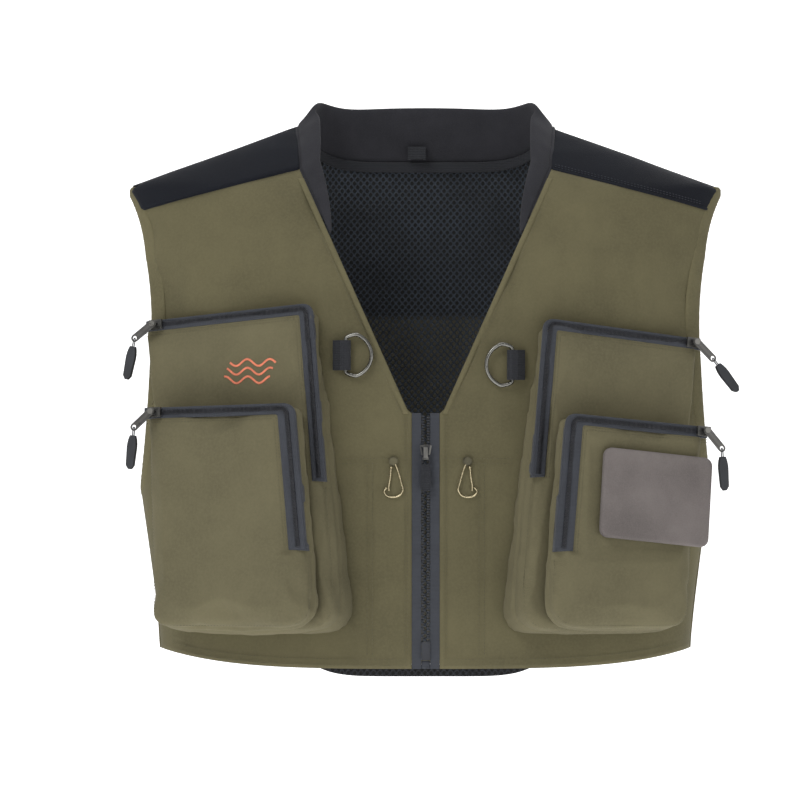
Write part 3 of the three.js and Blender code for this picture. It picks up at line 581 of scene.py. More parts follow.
def make_materials(colours):
    look = LOOK
    body = colours.body
    look["body"] = woven("Olive weave", body, 0.0011, uv=True, worn=0.15)
    for side, sign in SIDES.items():
        cloth = woven(f"Pocket weave {side}", colours.pocket, 0.0011, turn=sign * POCKET_YAW, worn=0.2)
        look["pocket_" + side] = cloth
    look["yoke"] = woven("Dark yoke weave", colours.yoke, 0.0013, uv=True, worn=0.12)
    look["collar"] = brushed_cloth("Brushed collar", colours.collar)
    look["edge"] = woven("Edge binding", scaled(body, 1.12), 0.0009, depth=0.00016, worn=0.25)
    # The lining's holes are painted near black above the back seam and dark olive below it: painted shade of
    # the cloth behind.
    look["mesh"] = diamond_mesh(
        "Lining mesh", srgb(44, 52, 62), srgb(5, 6, 9), srgb(62, 59, 48), BACK_SEAM_LEVEL
    )
    # The hem mesh's holes are painted near black: painted shade behind the band.
    look["hem_mesh"] = diamond_mesh("Hem mesh", srgb(32, 34, 40), srgb(8, 8, 10))
    look["tape"] = ribbed("Zip tape", colours.tape, 0.0012)
    look["webbing"] = ribbed("Webbing", colours.yoke, 0.0016, depth=0.0003)
    look["coil"] = moulded("Zip coil", srgb(30, 31, 36), 0.38)
    look["teeth"] = moulded("Moulded teeth", srgb(36, 38, 44), 0.42)
    rubbed = srgb(150, 148, 142)
    look["dark_metal"] = metal("Dark metal", srgb(46, 47, 51), 0.34, worn=rubbed, metallic=0.9)
    look["nickel"] = metal("Nickel", srgb(128, 127, 122), 0.26)
    look["wire"] = metal("Pale gold wire", srgb(205, 192, 158), 0.25)
    look["rubber"] = moulded("Pull rubber", srgb(38, 40, 44), 0.62)
    look["foam"] = brushed_cloth("Patch felt", colours.patch, speckle=0.25, fuzz=0.0004)
    look["thread"] = moulded("Sewing thread", scaled(body, 0.72), 0.75)
    look["dark_thread"] = moulded("Dark thread", srgb(44, 46, 54), 0.75)
    look["coral"] = moulded("Coral thread", colours.mark, 0.6)


# ---- Repeats along a path, made by Geometry Nodes ----
def repeat_tree(name, shape):
    """A tree that lays one small shape at even steps along edges, turned to the path and to 'out'."""
    tree = bpy.data.node_groups.new(name, "GeometryNodeTree")
    tree.interface.new_socket("Geometry", in_out="INPUT", socket_type="NodeSocketGeometry")
    sockets = {}
    for label, kind in (("Spacing", "Float"), ("Size", "Vector"), ("Material", "Material")):
        made = tree.interface.new_socket(label, in_out="INPUT", socket_type="NodeSocket" + kind)
        sockets[label] = made.identifier
    tree.interface.new_socket("Geometry", in_out="OUTPUT", socket_type="NodeSocketGeometry")
    new, link = tree.nodes.new, tree.links.new
    start, end = new("NodeGroupInput"), new("NodeGroupOutput")
    curve, steps = new("GeometryNodeMeshToCurve"), new("GeometryNodeResampleCurve")
    steps.mode = "LENGTH"
    link(start.outputs["Geometry"], curve.inputs["Mesh"])
    link(curve.outputs["Curve"], steps.inputs["Curve"])
    link(start.outputs["Spacing"], steps.inputs["Length"])
    along, out = new("GeometryNodeInputTangent"), new("GeometryNodeInputNamedAttribute")
    out.data_type = "FLOAT_VECTOR"
    out.inputs["Name"].default_value = "out"
    first, second = new("FunctionNodeAlignRotationToVector"), new("FunctionNodeAlignRotationToVector")
    first.axis, second.axis, second.pivot_axis = "X", "Z", "X"
    link(along.outputs["Tangent"], first.inputs["Vector"])
    link(first.outputs["Rotation"], second.inputs["Rotation"])
    link(out.outputs["Attribute"], second.inputs["Vector"])
    if shape == "stitch":
        item = new("GeometryNodeMeshUVSphere")
        item.inputs["Segments"].default_value = 6
        item.inputs["Rings"].default_value = 5
        item.inputs["Radius"].default_value = 1
    else:
        item = new("GeometryNodeMeshCube")
        item.inputs["Size"].default_value = (2, 2, 2)
        item.inputs["Vertices X"].default_value = 2
    shaped = new("GeometryNodeTransform")
    link(item.outputs["Mesh"], shaped.inputs["Geometry"])
    link(start.outputs["Size"], shaped.inputs["Scale"])
    copies, solid, paint = (
        new("GeometryNodeInstanceOnPoints"),
        new("GeometryNodeRealizeInstances"),
        new("GeometryNodeSetMaterial"),
    )
    link(steps.outputs["Curve"], copies.inputs["Points"])
    link(shaped.outputs["Geometry"], copies.inputs["Instance"])
    link(second.outputs["Rotation"], copies.inputs["Rotation"])
    link(copies.outputs["Instances"], solid.inputs["Geometry"])
    link(solid.outputs["Geometry"], paint.inputs["Geometry"])
    link(start.outputs["Material"], paint.inputs["Material"])
    link(paint.outputs["Geometry"], end.inputs["Geometry"])
    return tree, sockets


TREES = {}


def repeated(name, shape, routes, spacing, size, material, bevel=0.0):
    """One plain mesh of copies along routes: lists of (point, outward direction) in frame metres."""
    if shape not in TREES:
        TREES[shape] = repeat_tree("Row of " + shape, shape)
    tree, sockets = TREES[shape]
    points, edges, outs = [], [], []
    for route in routes:
        first = len(points)
        for point, out in route:
            points.append(tuple(point))
            outs += list(out)
        edges += [(i, i + 1) for i in range(first, len(points) - 1)]
    mesh = bpy.data.meshes.new(name)
    mesh.from_pydata(points, edges, [])
    mesh.attributes.new("out", "FLOAT_VECTOR", "POINT").data.foreach_set("vector", outs)
    obj = bpy.data.objects.new(name, mesh)
    bpy.context.scene.collection.objects.link(obj)
    nodes = obj.modifiers.new("Row", "NODES")
    nodes.node_group = tree
    nodes[sockets["Spacing"]] = spacing
    nodes[sockets["Size"]] = size
    nodes[sockets["Material"]] = material
    if bevel:
        soften = obj.modifiers.new("Soften", "BEVEL")
        soften.width, soften.segments = bevel, 2
    applied(obj)
    if not obj.data.materials:
        obj.data.materials.append(material)
    obj.data.shade_smooth()
    return obj


STITCH = (0.00115, 0.00028, 0.00024)
STITCH_LIFT = 1.5


# ---- Cloth panels ----
SETTLING_ROUNDS = 5
FIRST_GUESS = 150.0


def section(angle, z, face):
    """A point of the body's section: angle 0 is the middle of the front or the back."""
    power = 2 / SECTION_POWER
    x = half_width(z) * math.copysign(abs(math.sin(angle)) ** power, angle)
    y = face * half_depth(z) * max(math.cos(angle), 0) ** power
    return x, y


def angle_of_x(x, z):
    return math.copysign(math.asin(min(abs(x) / half_width(z), 1) ** (SECTION_POWER / 2)), x)


def angle_of_y(y, z):
    return math.acos(min(abs(y) / half_depth(z), 1) ** (SECTION_POWER / 2))


def armhole_angle(z, grow=0.0):
    height = (z - ARMHOLE_MIDDLE) / (ARMHOLE_HALF_HEIGHT + grow)
    if abs(height) >= 1 or z < ARMHOLE_MIDDLE - ARMHOLE_HALF_HEIGHT:
        return angle_of_y(SEAM_GAP / 2, z)
    return angle_of_y((ARMHOLE_HALF_WIDTH + grow) * math.sqrt(1 - height * height), z)


def creases(x, z, seed, scale=0.02, octaves=3):
    return noise.fractal(Vector((x * scale, z * scale * 0.45, seed)), 1.0, 2.0, octaves)


def cloth_sheet(name, rows, outward, thickness, material, waves=None):
    """A sheet from rows of body points: waves(x, z) lifts it and it thickens inwards."""
    columns = len(rows[0])
    grid = np.array(rows, dtype=float)
    du = np.gradient(grid, axis=1)
    dv = np.gradient(grid, axis=0)
    normals = np.cross(du, dv)
    normals /= np.maximum(np.linalg.norm(normals, axis=2, keepdims=True), 1e-9)
    if np.dot(normals[len(rows) // 2, columns // 2], outward) < 0:
        normals = -normals
    if waves is not None:
        lift = np.array([[waves(p[0], p[2]) for p in row] for row in grid])
        grid = grid + normals * lift[:, :, None]
    steps = np.linalg.norm(np.diff(grid, axis=1), axis=2)
    across = np.concatenate([np.zeros((len(rows), 1)), np.cumsum(steps, axis=1)], axis=1)
    across -= across[:, columns // 2 : columns // 2 + 1]
    uvs = [(u * MM, z * MM) for u, z in zip(across.ravel(), grid[:, :, 2].ravel())]
    outer = grid.reshape(-1, 3)
    inner = (grid - normals * thickness).reshape(-1, 3)
    points = [in_frame(*p) for p in np.concatenate([outer, inner])]
    faces = two_sided_faces(columns, len(rows))
    obj = face_outwards(mesh_object(name, points, faces, material, uvs + uvs))
    obj["cloth_area"] = sheet_area(grid)
    return obj


def sheet_area(grid):
    a, b, c, d = grid[:-1, :-1], grid[:-1, 1:], grid[1:, 1:], grid[1:, :-1]
    halves = [np.linalg.norm(np.cross(p - a, q - a), axis=2) for p, q in ((b, c), (c, d))]
    return float((halves[0] + halves[1]).sum()) / 2 * MM * MM


def declare_sheet(obj, width, length):
    area = min(max(obj["cloth_area"], 0.32 * width * length), width * length)


def panel_rows(first, last, lower, upper, columns, rows, face, inset=0.0):
    """Rows of a panel between the angles first(z) and last(z), from lower(x) up to upper(x)."""
    made = []
    for j in range(rows + 1):
        t = j / rows
        row = []
        for i in range(columns + 1):
            s = i / columns
            x = abs(row[-1][0]) if row else FIRST_GUESS
            for _ in range(SETTLING_ROUNDS):
                z = lower(x) + (upper(x) - lower(x)) * t
                angle = first(z) + (last(z) - first(z)) * s
                x, y = section(angle, z, face)
            row.append((x, y, z))
        made.append(row)
    if inset:
        made = [[inset_point(p, face, inset) for p in row] for row in made]
    return made


def inset_point(point, face, inset):
    x, y, z = point
    w, d = half_width(z), half_depth(z)
    return (x * (w - inset) / w, y * (d - inset) / d, z)


SEAM_SINK = 0.9
HOOK_LEVEL = 206


def hump(value, middle, width):
    return math.exp(-(((value - middle) / width) ** 2))


def share_of(value, whole):
    """The value as a share of the whole, kept between 0 and 1."""
    return min(max(value / whole, 0), 1)


def chest_waves(side):
    """Soft upright folds of the front: over the chest, along the neck edge and beside the zip."""

    def waves(x, z):
        outwards = abs(x)
        below_seam = share_of(front_seam(x) - z, 25)
        chest = share_of(z - 300, 60) * below_seam
        stir = noise.noise(Vector((outwards * 0.016, z * 0.006, 11 + side))) * 2.4
        upright = math.sin(outwards / 5.6 + z / 60 + side + 2 * stir) * (0.45 + 0.4 * abs(stir))
        upright += math.sin(outwards / 13 - z / 45 + stir) * 1.3
        near_neck = hump(outwards, neck_edge(z), 22) if z > ZIP_TOP else 0
        rim = math.sin(z / 17 + side * 2) * 1.5 * near_neck
        clear = 1 if z > 360 or outwards < 105 else 0.15
        low = 1.2 * creases(outwards, z, 4 + side) * share_of(z - 20, 40)
        seam = -SEAM_SINK * hump(outwards, 52, 2.2) if 30 < z < HOOK_LEVEL else 0
        ledge = -SEAM_SINK * hump(z, HOOK_LEVEL, 2.2) if 14 < outwards < 78 else 0
        edges = min((outwards - 12) / 8, 1) if z < ZIP_TOP else below_seam
        return (chest * upright + rim + low * clear) * max(edges, 0) + seam + ledge

    return waves


def front_panel(name, side):
    sign = SIDES[side]

    def inner(z):
        x = ZIP_HALF_GAP + SEAM_GAP if z < ZIP_TOP else neck_edge(z)
        return angle_of_x(x, z)

    def upper(x):
        return front_seam(x) - SEAM_GAP

    rows = panel_rows(inner, armhole_angle, front_hem, upper, 74, 104, -1)
    rows = [[(sign * x, y, z) for x, y, z in row] for row in rows]
    folds = chest_waves(0 if side == "left" else 1.7)
    return cloth_sheet(name, rows, FORWARD, FABRIC, LOOK["body"], folds)


def far_armhole_angle(z):
    return -armhole_angle(z)


def from_side(x, fade):
    return min((CHEST_HALF_WIDTH - abs(x)) / fade, 1)


def back_panel(name):
    def upper(x):
        return BACK_SEAM_HEIGHT - SEAM_GAP

    def waves(x, z):
        sway = 1.1 * (1 + math.sin(x / 38 + z / 120)) + 1.6 * (creases(x, z, 9) + 0.6)
        return max(sway * share_of(BACK_SEAM_HEIGHT - z, 25) * from_side(x, 60), 0)

    rows = panel_rows(far_armhole_angle, armhole_angle, front_hem, upper, 120, 72, 1)
    return cloth_sheet(name, rows, BACKWARD, FABRIC, LOOK["body"], waves)


def back_yoke(name):
    def lower(x):
        return BACK_SEAM_HEIGHT + SEAM_GAP

    def upper(x):
        return back_top(x) - SEAM_GAP

    def waves(x, z):
        edge = share_of(z - BACK_SEAM_HEIGHT, 20) * share_of(back_top(x) - z, 30)
        return max(edge * (0.9 + 1.4 * creases(x, z, 3)), 0) * from_side(x, 60)

    rows = panel_rows(far_armhole_angle, armhole_angle, lower, upper, 110, 34, 1)
    return cloth_sheet(name, rows, BACKWARD, FABRIC, LOOK["yoke"], waves)


def back_lining(name):
    """The mesh inside the back, which sags a little and gathers under the neck."""

    def last(z):
        return armhole_angle(z, LINING_SETBACK)

    def first(z):
        return -last(z)

    def lower(x):
        return 16 + 14 * (abs(x) / HEM_HALF_WIDTH) ** 4

    def waves(x, z):
        top = hump(z, 470, 16) * (1.5 + 1.5 * math.sin(x / 9 + math.sin(z / 7)))
        sag = 1.8 * (creases(x, z, 21) + 0.5)
        return -max(top + sag, 0) * from_side(x, 80)

    rows = panel_rows(first, last, lower, lining_top, 110, 110, 1, inset=LINING_INSET)
    return cloth_sheet(name, rows, BACKWARD, LINING_THICKNESS, LOOK["mesh"], waves)


def neck_tape(name):
    """The tape sewn over the neck seam inside the back."""
    half_width, drop, height, clear, draw_in = 104, 6.5, 10, 5.9, 0.985

    def point(share, up):
        x = half_width * (2 * share - 1)
        z = back_neck(x) - drop + height * up
        turn = math.asin(min(abs(x) / NECK_HALF_WIDTH, 1))
        lean = COLLAR_BACK_LEAN * max(z - back_neck(x), 0) / COLLAR_BACK_RISE * math.cos(turn)
        return (x * draw_in, depth_at(x, back_neck(x)) - clear - lean, z)

    rows = [[point(i / 80, j / 6) for i in range(81)] for j in range(7)]
    return cloth_sheet(name, rows, FORWARD, 0.9, LOOK["webbing"])


def zip_end(name):
    """The folded tape end that closes the gap under the zip's box."""

    def point(x, z):
        return (x, -BODY_HALF_DEPTH + 0.7 - 0.25 * math.cos(x / 4 * math.pi), z)

    rows = [[point(x, 12.2 + 7.4 * j / 6) for x in np.linspace(-4, 4, 13)] for j in range(7)]
    return cloth_sheet(name, rows, FORWARD, 1.0, LOOK["tape"])


def hem_band(name):
    """The mesh band that hangs below the back panel."""

    def point(share, up):
        x = HEM_BAND_HALF_WIDTH * (2 * share - 1)
        low = 12 * 0.85 * (abs(x) / HEM_BAND_HALF_WIDTH) ** 6
        z = low + (front_hem(x) - SEAM_GAP - low) * up
        return (x, depth_at(x, z), z)

    rows = [[point(i / 72, j / 8) for i in range(73)] for j in range(9)]
    return cloth_sheet(name, rows, BACKWARD, FABRIC, LOOK["hem_mesh"])


def shoulder_yoke(name, side):
    """The shoulder cloth, from the front seam over the ridge to the back seam."""
    sign = SIDES[side]
    columns, rows = 46, 40
    made = []
    for j in range(rows + 1):
        w = 2 * j / rows - 1
        row = []
        for i in range(columns + 1):
            s = i / columns
            x, z = NECK_BASE_HALF + 1.0, 0.0
            for _ in range(2 * SETTLING_ROUNDS):
                ridge = RIDGE_HEIGHT - RIDGE_FALL * max(x - NECK_HALF_WIDTH, 0)
                foot = (front_seam(x) if w < 0 else back_seam(x)) + SEAM_GAP
                z = ridge - (ridge - foot) * w * w
                outer = yoke_end(z)
                inner = max(neck_edge(z), NECK_BASE_HALF)
                if w > 0:
                    inner = BACK_SEAM_INNER + (NECK_HALF_WIDTH - BACK_SEAM_INNER) * (1 - w) ** 0.4
                x = inner + (outer - inner) * s
            y = math.copysign(depth_at(x, min(z, RIDGE_HEIGHT)), w)
            row.append((sign * x, y, z))
        made.append(row)

    def waves(x, z):
        return 0.9 * creases(abs(x), z, 31) * from_side(x, 40)

    return cloth_sheet(name, made, (0, 0, 1), FABRIC, LOOK["yoke"], waves)


def yoke_end(z):
    height = (z - ARMHOLE_MIDDLE) / ARMHOLE_HALF_HEIGHT
    y = ARMHOLE_HALF_WIDTH * math.sqrt(max(1 - height * height, 0))
    return min(width_at(y, z), CHEST_HALF_WIDTH - 0.5)


def side_normal(y, z):
    step = 1.0
    dy = (width_at(y + step, z) - width_at(y - step, z)) / (2 * step)
    dz = (width_at(y, z + step) - width_at(y, z - step)) / (2 * step)
    return Vector((1, -dy, -dz)).normalized()


def flattened(value, power):
    """A sine or cosine raised to a power with its sign kept, for a squarer or flatter section."""
    return math.copysign(abs(value) ** power, value)


def armhole_binding(name, side):
    """The cloth band that wraps the armhole's edge, slightly puckered by its stitches."""
    sign = SIDES[side]
    around, across = 200, 14
    points = []
    for a in turns(around):
        for b in turns(across):
            inset = 3.6 - 5.8 * flattened(math.cos(b), 0.6)
            height = 1.9 * flattened(math.sin(b), 0.8) - 1.1
            y = (ARMHOLE_HALF_WIDTH - inset) * math.cos(a)
            z = ARMHOLE_MIDDLE + (ARMHOLE_HALF_HEIGHT - inset) * math.sin(a)
            puckers = 0.25 * math.sin(a * 70) * max(math.sin(b), 0)
            point = Vector((width_at(y, z), y, z)) + side_normal(y, z) * (height + puckers)
            points.append(in_frame(sign * point.x, point.y, point.z))
    faces = grid_faces(across, around, wrap_columns=True, wrap_rows=True)
    return face_outwards(mesh_object(name, points, faces, LOOK["edge"]))


def neck_facing(name, side):
    """The narrow turned edge down the front of the neck opening."""
    sign = SIDES[side]
    along, across, top = 120, 12, 474
    points = []
    for i in range(along + 1):
        z = ZIP_TOP - 1 + (top - ZIP_TOP) * i / along
        for b in turns(across):
            x = neck_edge(max(z, ZIP_TOP)) + 2.6 + 2.9 * math.cos(b)
            lift = 1.7 * flattened(math.sin(b), 0.8) + 0.2
            wave = 0.35 * math.sin(z / 17)
            y = -depth_at(x, z) - lift - wave + 0.9
            points.append(in_frame(sign * x, y, z))
    faces = grid_faces(across, along + 1, wrap_columns=True) + end_caps(across, along + 1)
    return face_outwards(mesh_object(name, points, faces, LOOK["edge"]))


def seam_cord(name, points, radius, material):
    """A rolled seam allowance along the joint between two cloths."""
    return tube(name, [in_frame(*p) for p in points], radius * MM, material, sides=8)


def on_body(x, z, face, sink=0.9):
    return (x, face * (depth_at(x, z) - sink), z)


def seam_cords():
    """The rolled seams of the yokes and the neck."""
    made = []
    ends = (("front", -1, front_seam, NECK_BASE_HALF), ("back", 1, back_seam, BACK_SEAM_INNER))
    for side, sign in SIDES.items():
        for end, face, foot, inner in ends:
            outer = yoke_end(foot(CHEST_HALF_WIDTH - 20)) - 2
            line = [on_body(sign * x, foot(x), face) for x in np.linspace(inner + 1, outer, 50)]
            made.append(seam_cord(f"yoke_seam_{side}_{end}", line, 1.6, LOOK["yoke"]))
    reach = width_at(ARMHOLE_HALF_WIDTH, BACK_SEAM_HEIGHT) - 3
    line = [on_body(x, BACK_SEAM_HEIGHT, 1) for x in np.linspace(-reach, reach, 110)]
    made.append(seam_cord("back_yoke_seam", line, 1.2, LOOK["yoke"]))
    line = [collar_point(t, 0) - Vector((0, 0, 1.1)) for t in np.linspace(-0.9, 0.9, 160)]
    made.append(seam_cord("neck_seam", line, 2.5, LOOK["collar"]))
    return made


# ---- Collar ----
COLLAR_THICKNESS = 5
COLLAR_STAND_OFF = 1.2
COLLAR_START = 420
COLLAR_BACK_SHARE = 0.42
COLLAR_BACK_RISE = 56
COLLAR_SIDE_RISE = 14
COLLAR_BACK_LEAN = 9
COLLAR_SIDE_LEAN = 17


def collar_point(t, up):
    """A point of the collar's middle surface: t runs from -1 to 1 round the neck, up from 0 to 1."""
    side = -1 if t < 0 else 1
    q = abs(t)
    if q <= COLLAR_BACK_SHARE:
        turn = q / COLLAR_BACK_SHARE * math.pi / 2
        x = NECK_HALF_WIDTH * math.sin(turn)
        z = back_neck(x)
        fall = COLLAR_BACK_RISE - COLLAR_SIDE_RISE
        rise = COLLAR_BACK_RISE - fall * (q / COLLAR_BACK_SHARE) ** 3
        inwards = (COLLAR_STAND_OFF * 0.7 + COLLAR_SIDE_LEAN * up) * math.sin(turn)
        return Vector(
            (
                side * (x - inwards),
                depth_at(x, z) - 3 - COLLAR_BACK_LEAN * up * math.cos(turn),
                z + COLLAR_STAND_OFF * (1 - 0.3 * math.sin(turn)) + rise * up,
            )
        )
    down = (q - COLLAR_BACK_SHARE) / (1 - COLLAR_BACK_SHARE)
    z = RIDGE_HEIGHT - (RIDGE_HEIGHT - COLLAR_START) * down
    x = neck_edge(z)
    bow = 20 * (1 - down**4) * (0.85 + 0.15 * math.cos(math.pi * down))
    return Vector(
        (
            side * (x - COLLAR_STAND_OFF * (0.7 + 0.3 * min(down * 4, 1)) - (bow + 1.5) * up),
            -depth_at(x, z) - 3 * (1 - 2 * min(down * 3, 1)) - 5 * up * math.sin(math.pi * down),
            z + COLLAR_STAND_OFF * 0.7 * (1 - min(down * 4, 1)) + COLLAR_SIDE_RISE * (1 - down) * up,
        )
    )


def collar(name):
    """The padded stand-up band, fuller in its middle and rolled along its free edge."""
    along, up_steps = 200, 10
    points = []
    reach = 0.03
    for i in range(along + 1):
        t = -0.999 + 1.998 * i / along
        ring = []
        for k in range(2 * up_steps + 2):
            outer = k <= up_steps
            up = (k if outer else 2 * up_steps + 1 - k) / up_steps
            ahead, behind = min(t + reach, 0.9999), max(t - reach, -0.9999)
            dt = collar_point(ahead, up) - collar_point(behind, up)
            du = collar_point(t, min(up + 0.1, 1)) - collar_point(t, max(up - 0.1, 0))
            normal = dt.cross(du).normalized()
            swell = 0.62 + 0.5 * max(math.sin(math.pi * up), 0) ** 0.6
            pucker = 0.3 * noise.noise(Vector((t * 26, up * 2.2, 0.5 if outer else 7.5)))
            half = COLLAR_THICKNESS / 2 * (swell + pucker)
            ring.append(collar_point(t, up) + normal * (-half if outer else half))
        points += [in_frame(*p) for p in ring]
    columns = 2 * up_steps + 2
    faces = grid_faces(columns, along + 1, wrap_columns=True) + end_caps(columns, along + 1)
    obj = face_outwards(mesh_object(name, points, faces, LOOK["collar"]))
    smooth = obj.modifiers.new("Smooth", "CORRECTIVE_SMOOTH")
    smooth.iterations, smooth.use_only_smooth = 3, True
    round_off = obj.modifiers.new("Round", "SUBSURF")
    round_off.levels = round_off.render_levels = 1
    return applied(obj)


# ---- Pocket shapes ----
def pocket_matrix(side, small=False):
    place = Matrix.Translation(POCKET_ORIGIN + Vector((POCKETS[side]["shift"], 0, 0)))
    turn = Matrix.Rotation(POCKET_YAW, 4, "Z") @ Matrix.Rotation(-POCKET_LEAN, 4, "X")
    made = place @ turn
    if small:
        made = made @ Matrix.Translation((0, -SMALL_DEPTH, 0))
    return Matrix.Diagonal((SIDES[side], 1, 1, 1)) @ made


def to_frame(matrix, point):
    return (matrix @ Vector(point)) * MM + ORIGIN


def pocket_corners(p):
    return [
        Vector((p["start"] - p["flare"], 0)),
        Vector((p["start"], p["inner"])),
        Vector((p["top"], p["outer"])),
        Vector((p["bottom"], 0)),
    ]


def inset_corners(corners, distances):
    """The corners moved inwards by one distance for each edge, starting with the inner side."""
    lines = []
    for i, here in enumerate(corners):
        along = (corners[(i + 1) % 4] - here).normalized()
        inward = Vector((along.y, -along.x))
        lines.append((here + inward * distances[i], along))
    made = []
    for i in range(4):
        (p, u), (q, v) = lines[i - 1], lines[i]
        cross = u.x * v.y - u.y * v.x
        gap = q - p
        made.append(p + u * ((gap.x * v.y - gap.y * v.x) / cross))
    return made


def bend(before, corner, after, count):
    """Points on a quadratic bend round a corner."""
    made = []
    for i in range(count + 1):
        t = i / count
        made.append(before * (1 - t) ** 2 + corner * 2 * t * (1 - t) + after * t * t)
    return made


def outline(corners, inset, step=4.0):
    """Evenly spaced points round the pocket's rounded outline."""
    made = []
    for i, here in enumerate(corners):
        radius = max(CORNER_RADII[i] - inset, 3)
        before = here + (corners[i - 1] - here).normalized() * radius
        after = here + (corners[(i + 1) % 4] - here).normalized() * radius
        following = corners[(i + 1) % 4]
        next_radius = max(CORNER_RADII[(i + 1) % 4] - inset, 3)
        stop = following + (here - following).normalized() * next_radius
        made += bend(before, here, after, 7)
        count = max(int((stop - after).length / step), 1)
        made += [after + (stop - after) * (k / count) for k in range(1, count)]
    return made


def zip_route(p, side_inset, top_inset, stop=0.0, count=46):
    """The zip's path at one inset: from its outer end, round the corner and down the inner side."""
    _, inner, outer, _ = inset_corners(pocket_corners(p), [side_inset, top_inset, 0, 0])
    down = (inset_corners(pocket_corners(p), [side_inset, top_inset, 0, 0])[0] - inner).normalized()
    out = (outer - inner).normalized()
    radius = max(12 - min(side_inset, top_inset), 3)
    end = inner + out * ((p["top"] - 0.6 - stop - inner.x) / out.x)
    bottom = inner + down * ((p["inner"] - p["drop"] + stop - inner.y) / down.y)
    first, last = inner + out * radius, inner + down * radius
    route = [end + (first - end) * (i / count) for i in range(count)]
    route += bend(first, inner, last, 8)
    route += [last + (bottom - last) * (i / count) for i in range(1, count + 1)]
    return route


def back_depth(matrix, x, z, most):
    """How far behind a pocket's front the vest's body lies at that place."""
    y = 4.0
    while y < most:
        body = matrix @ Vector((x, y, z))
        if abs(body.x) < half_width(body.z) - 1 and body.y > -depth_at(body.x, body.z) - 1.4:
            return y
        y += 0.5
    return most


# Each ring of a bag: how far it stands inside the outline, and its share of the depth.
BAG_RINGS = ((5.5, 0.0), (2.4, 0.05), (1.3, 0.14), (1.7, 0.5), (1.3, 0.9), (1.3, 1.0))
BAG_FRONT = 1.3
VOXEL = 0.0048
SWELL_FRAMES = 20
MOST_SWELL = 5.0


def bag(name, side, size, colour):
    """A pocket as one soft bag: a lofted pouch, blown out a little by cloth simulation."""
    small = size == "small"
    p = POCKETS[side][size]
    matrix = pocket_matrix(side, small)
    base = outline(pocket_corners(p), 0)
    behind = [SMALL_DEPTH - 1.6 if small else back_depth(matrix, q.x, q.y, 62) for q in base]
    centre = Vector((p["top"] / 2, p["inner"] / 2))
    points = []
    for inset, share in BAG_RINGS:
        for q, back in zip(base, behind):
            inwards = q + (centre - q).normalized() * inset
            points.append(Vector((inwards.x, BAG_FRONT + (back - BAG_FRONT) * share, inwards.y)))
    count = len(base)
    faces = grid_faces(count, len(BAG_RINGS), wrap_columns=True) + end_caps(count, len(BAG_RINGS))
    obj = face_outwards(mesh_object(name, [q * MM for q in points], faces, None))
    blow_up(obj, small)
    data = obj.data
    normals = [entry.vector.copy() for entry in data.vertex_normals]
    depth = SMALL_DEPTH if small else 45
    for vertex, normal in zip(data.vertices, normals):
        q = vertex.co / MM
        fold = -1.9 * math.exp(-(((q.y - depth * 0.52) / 2.6) ** 2)) if abs(normal.y) < 0.6 else 0
        soft = 1.3 * noise.noise(q * 0.028 + Vector((3, 1, len(name)))) + 0.55 * noise.noise(q * 0.075)
        vertex.co = vertex.co + normal * ((fold + soft) * MM)
    for vertex in data.vertices:
        q = vertex.co / MM
        low = front_limit(q.x, q.z, p, size, side)
        if q.y < low:
            vertex.co.y = low * MM
    data.transform(Matrix.Translation(ORIGIN) @ Matrix.Scale(MM, 4) @ matrix @ Matrix.Scale(1 / MM, 4))
    face_outwards(obj)
    data.shade_smooth()
    data.materials.append(colour)
    return obj


def front_limit(x, z, p, size, side):
    """How far forward the pocket's front may swell at one place: less under zips, patch and neighbours."""
    corners = pocket_corners(p)
    inner, top = corners[1], corners[2]
    slope = (top.y - inner.y) / (top.x - inner.x)
    from_top = inner.y + slope * (x - inner.x) - z
    lean = (corners[1].x - corners[0].x) / (corners[1].y - corners[0].y)
    from_side = x - (corners[0].x + lean * z)
    swell = -3.0
    if from_top < TAPE_TOP + 2 or (from_side < TAPE_SIDE[size] + 2 and z > p["inner"] - p["drop"] - 3):
        swell = 0.6
    elif size == "large":
        over = (z - POCKETS[side]["small"]["inner"] - 8) / 40
        swell = 0.9 - 3.9 * min(max(over, 0), 1)
    elif size == "small" and side == "left":
        near = max(abs(x - PATCH_CENTRE[0]) - PATCH_SIZE[0] / 2, abs(z - PATCH_CENTRE[1]) - PATCH_SIZE[1] / 2)
        swell = 0.2 - 3.0 * min(max((near - 4) / 14, 0), 1)
    near_tape = min(from_top - TAPE_TOP - 2, 16) / 16
    if from_side < TAPE_SIDE[size] + 18 and z > p["inner"] - p["drop"] - 3:
        near_tape = min(near_tape, (from_side - TAPE_SIDE[size] - 2) / 16)
    if near_tape > 0:
        swell = max(swell, 0.6 - 3.6 * math.sin(near_tape * math.pi / 2))
    return swell


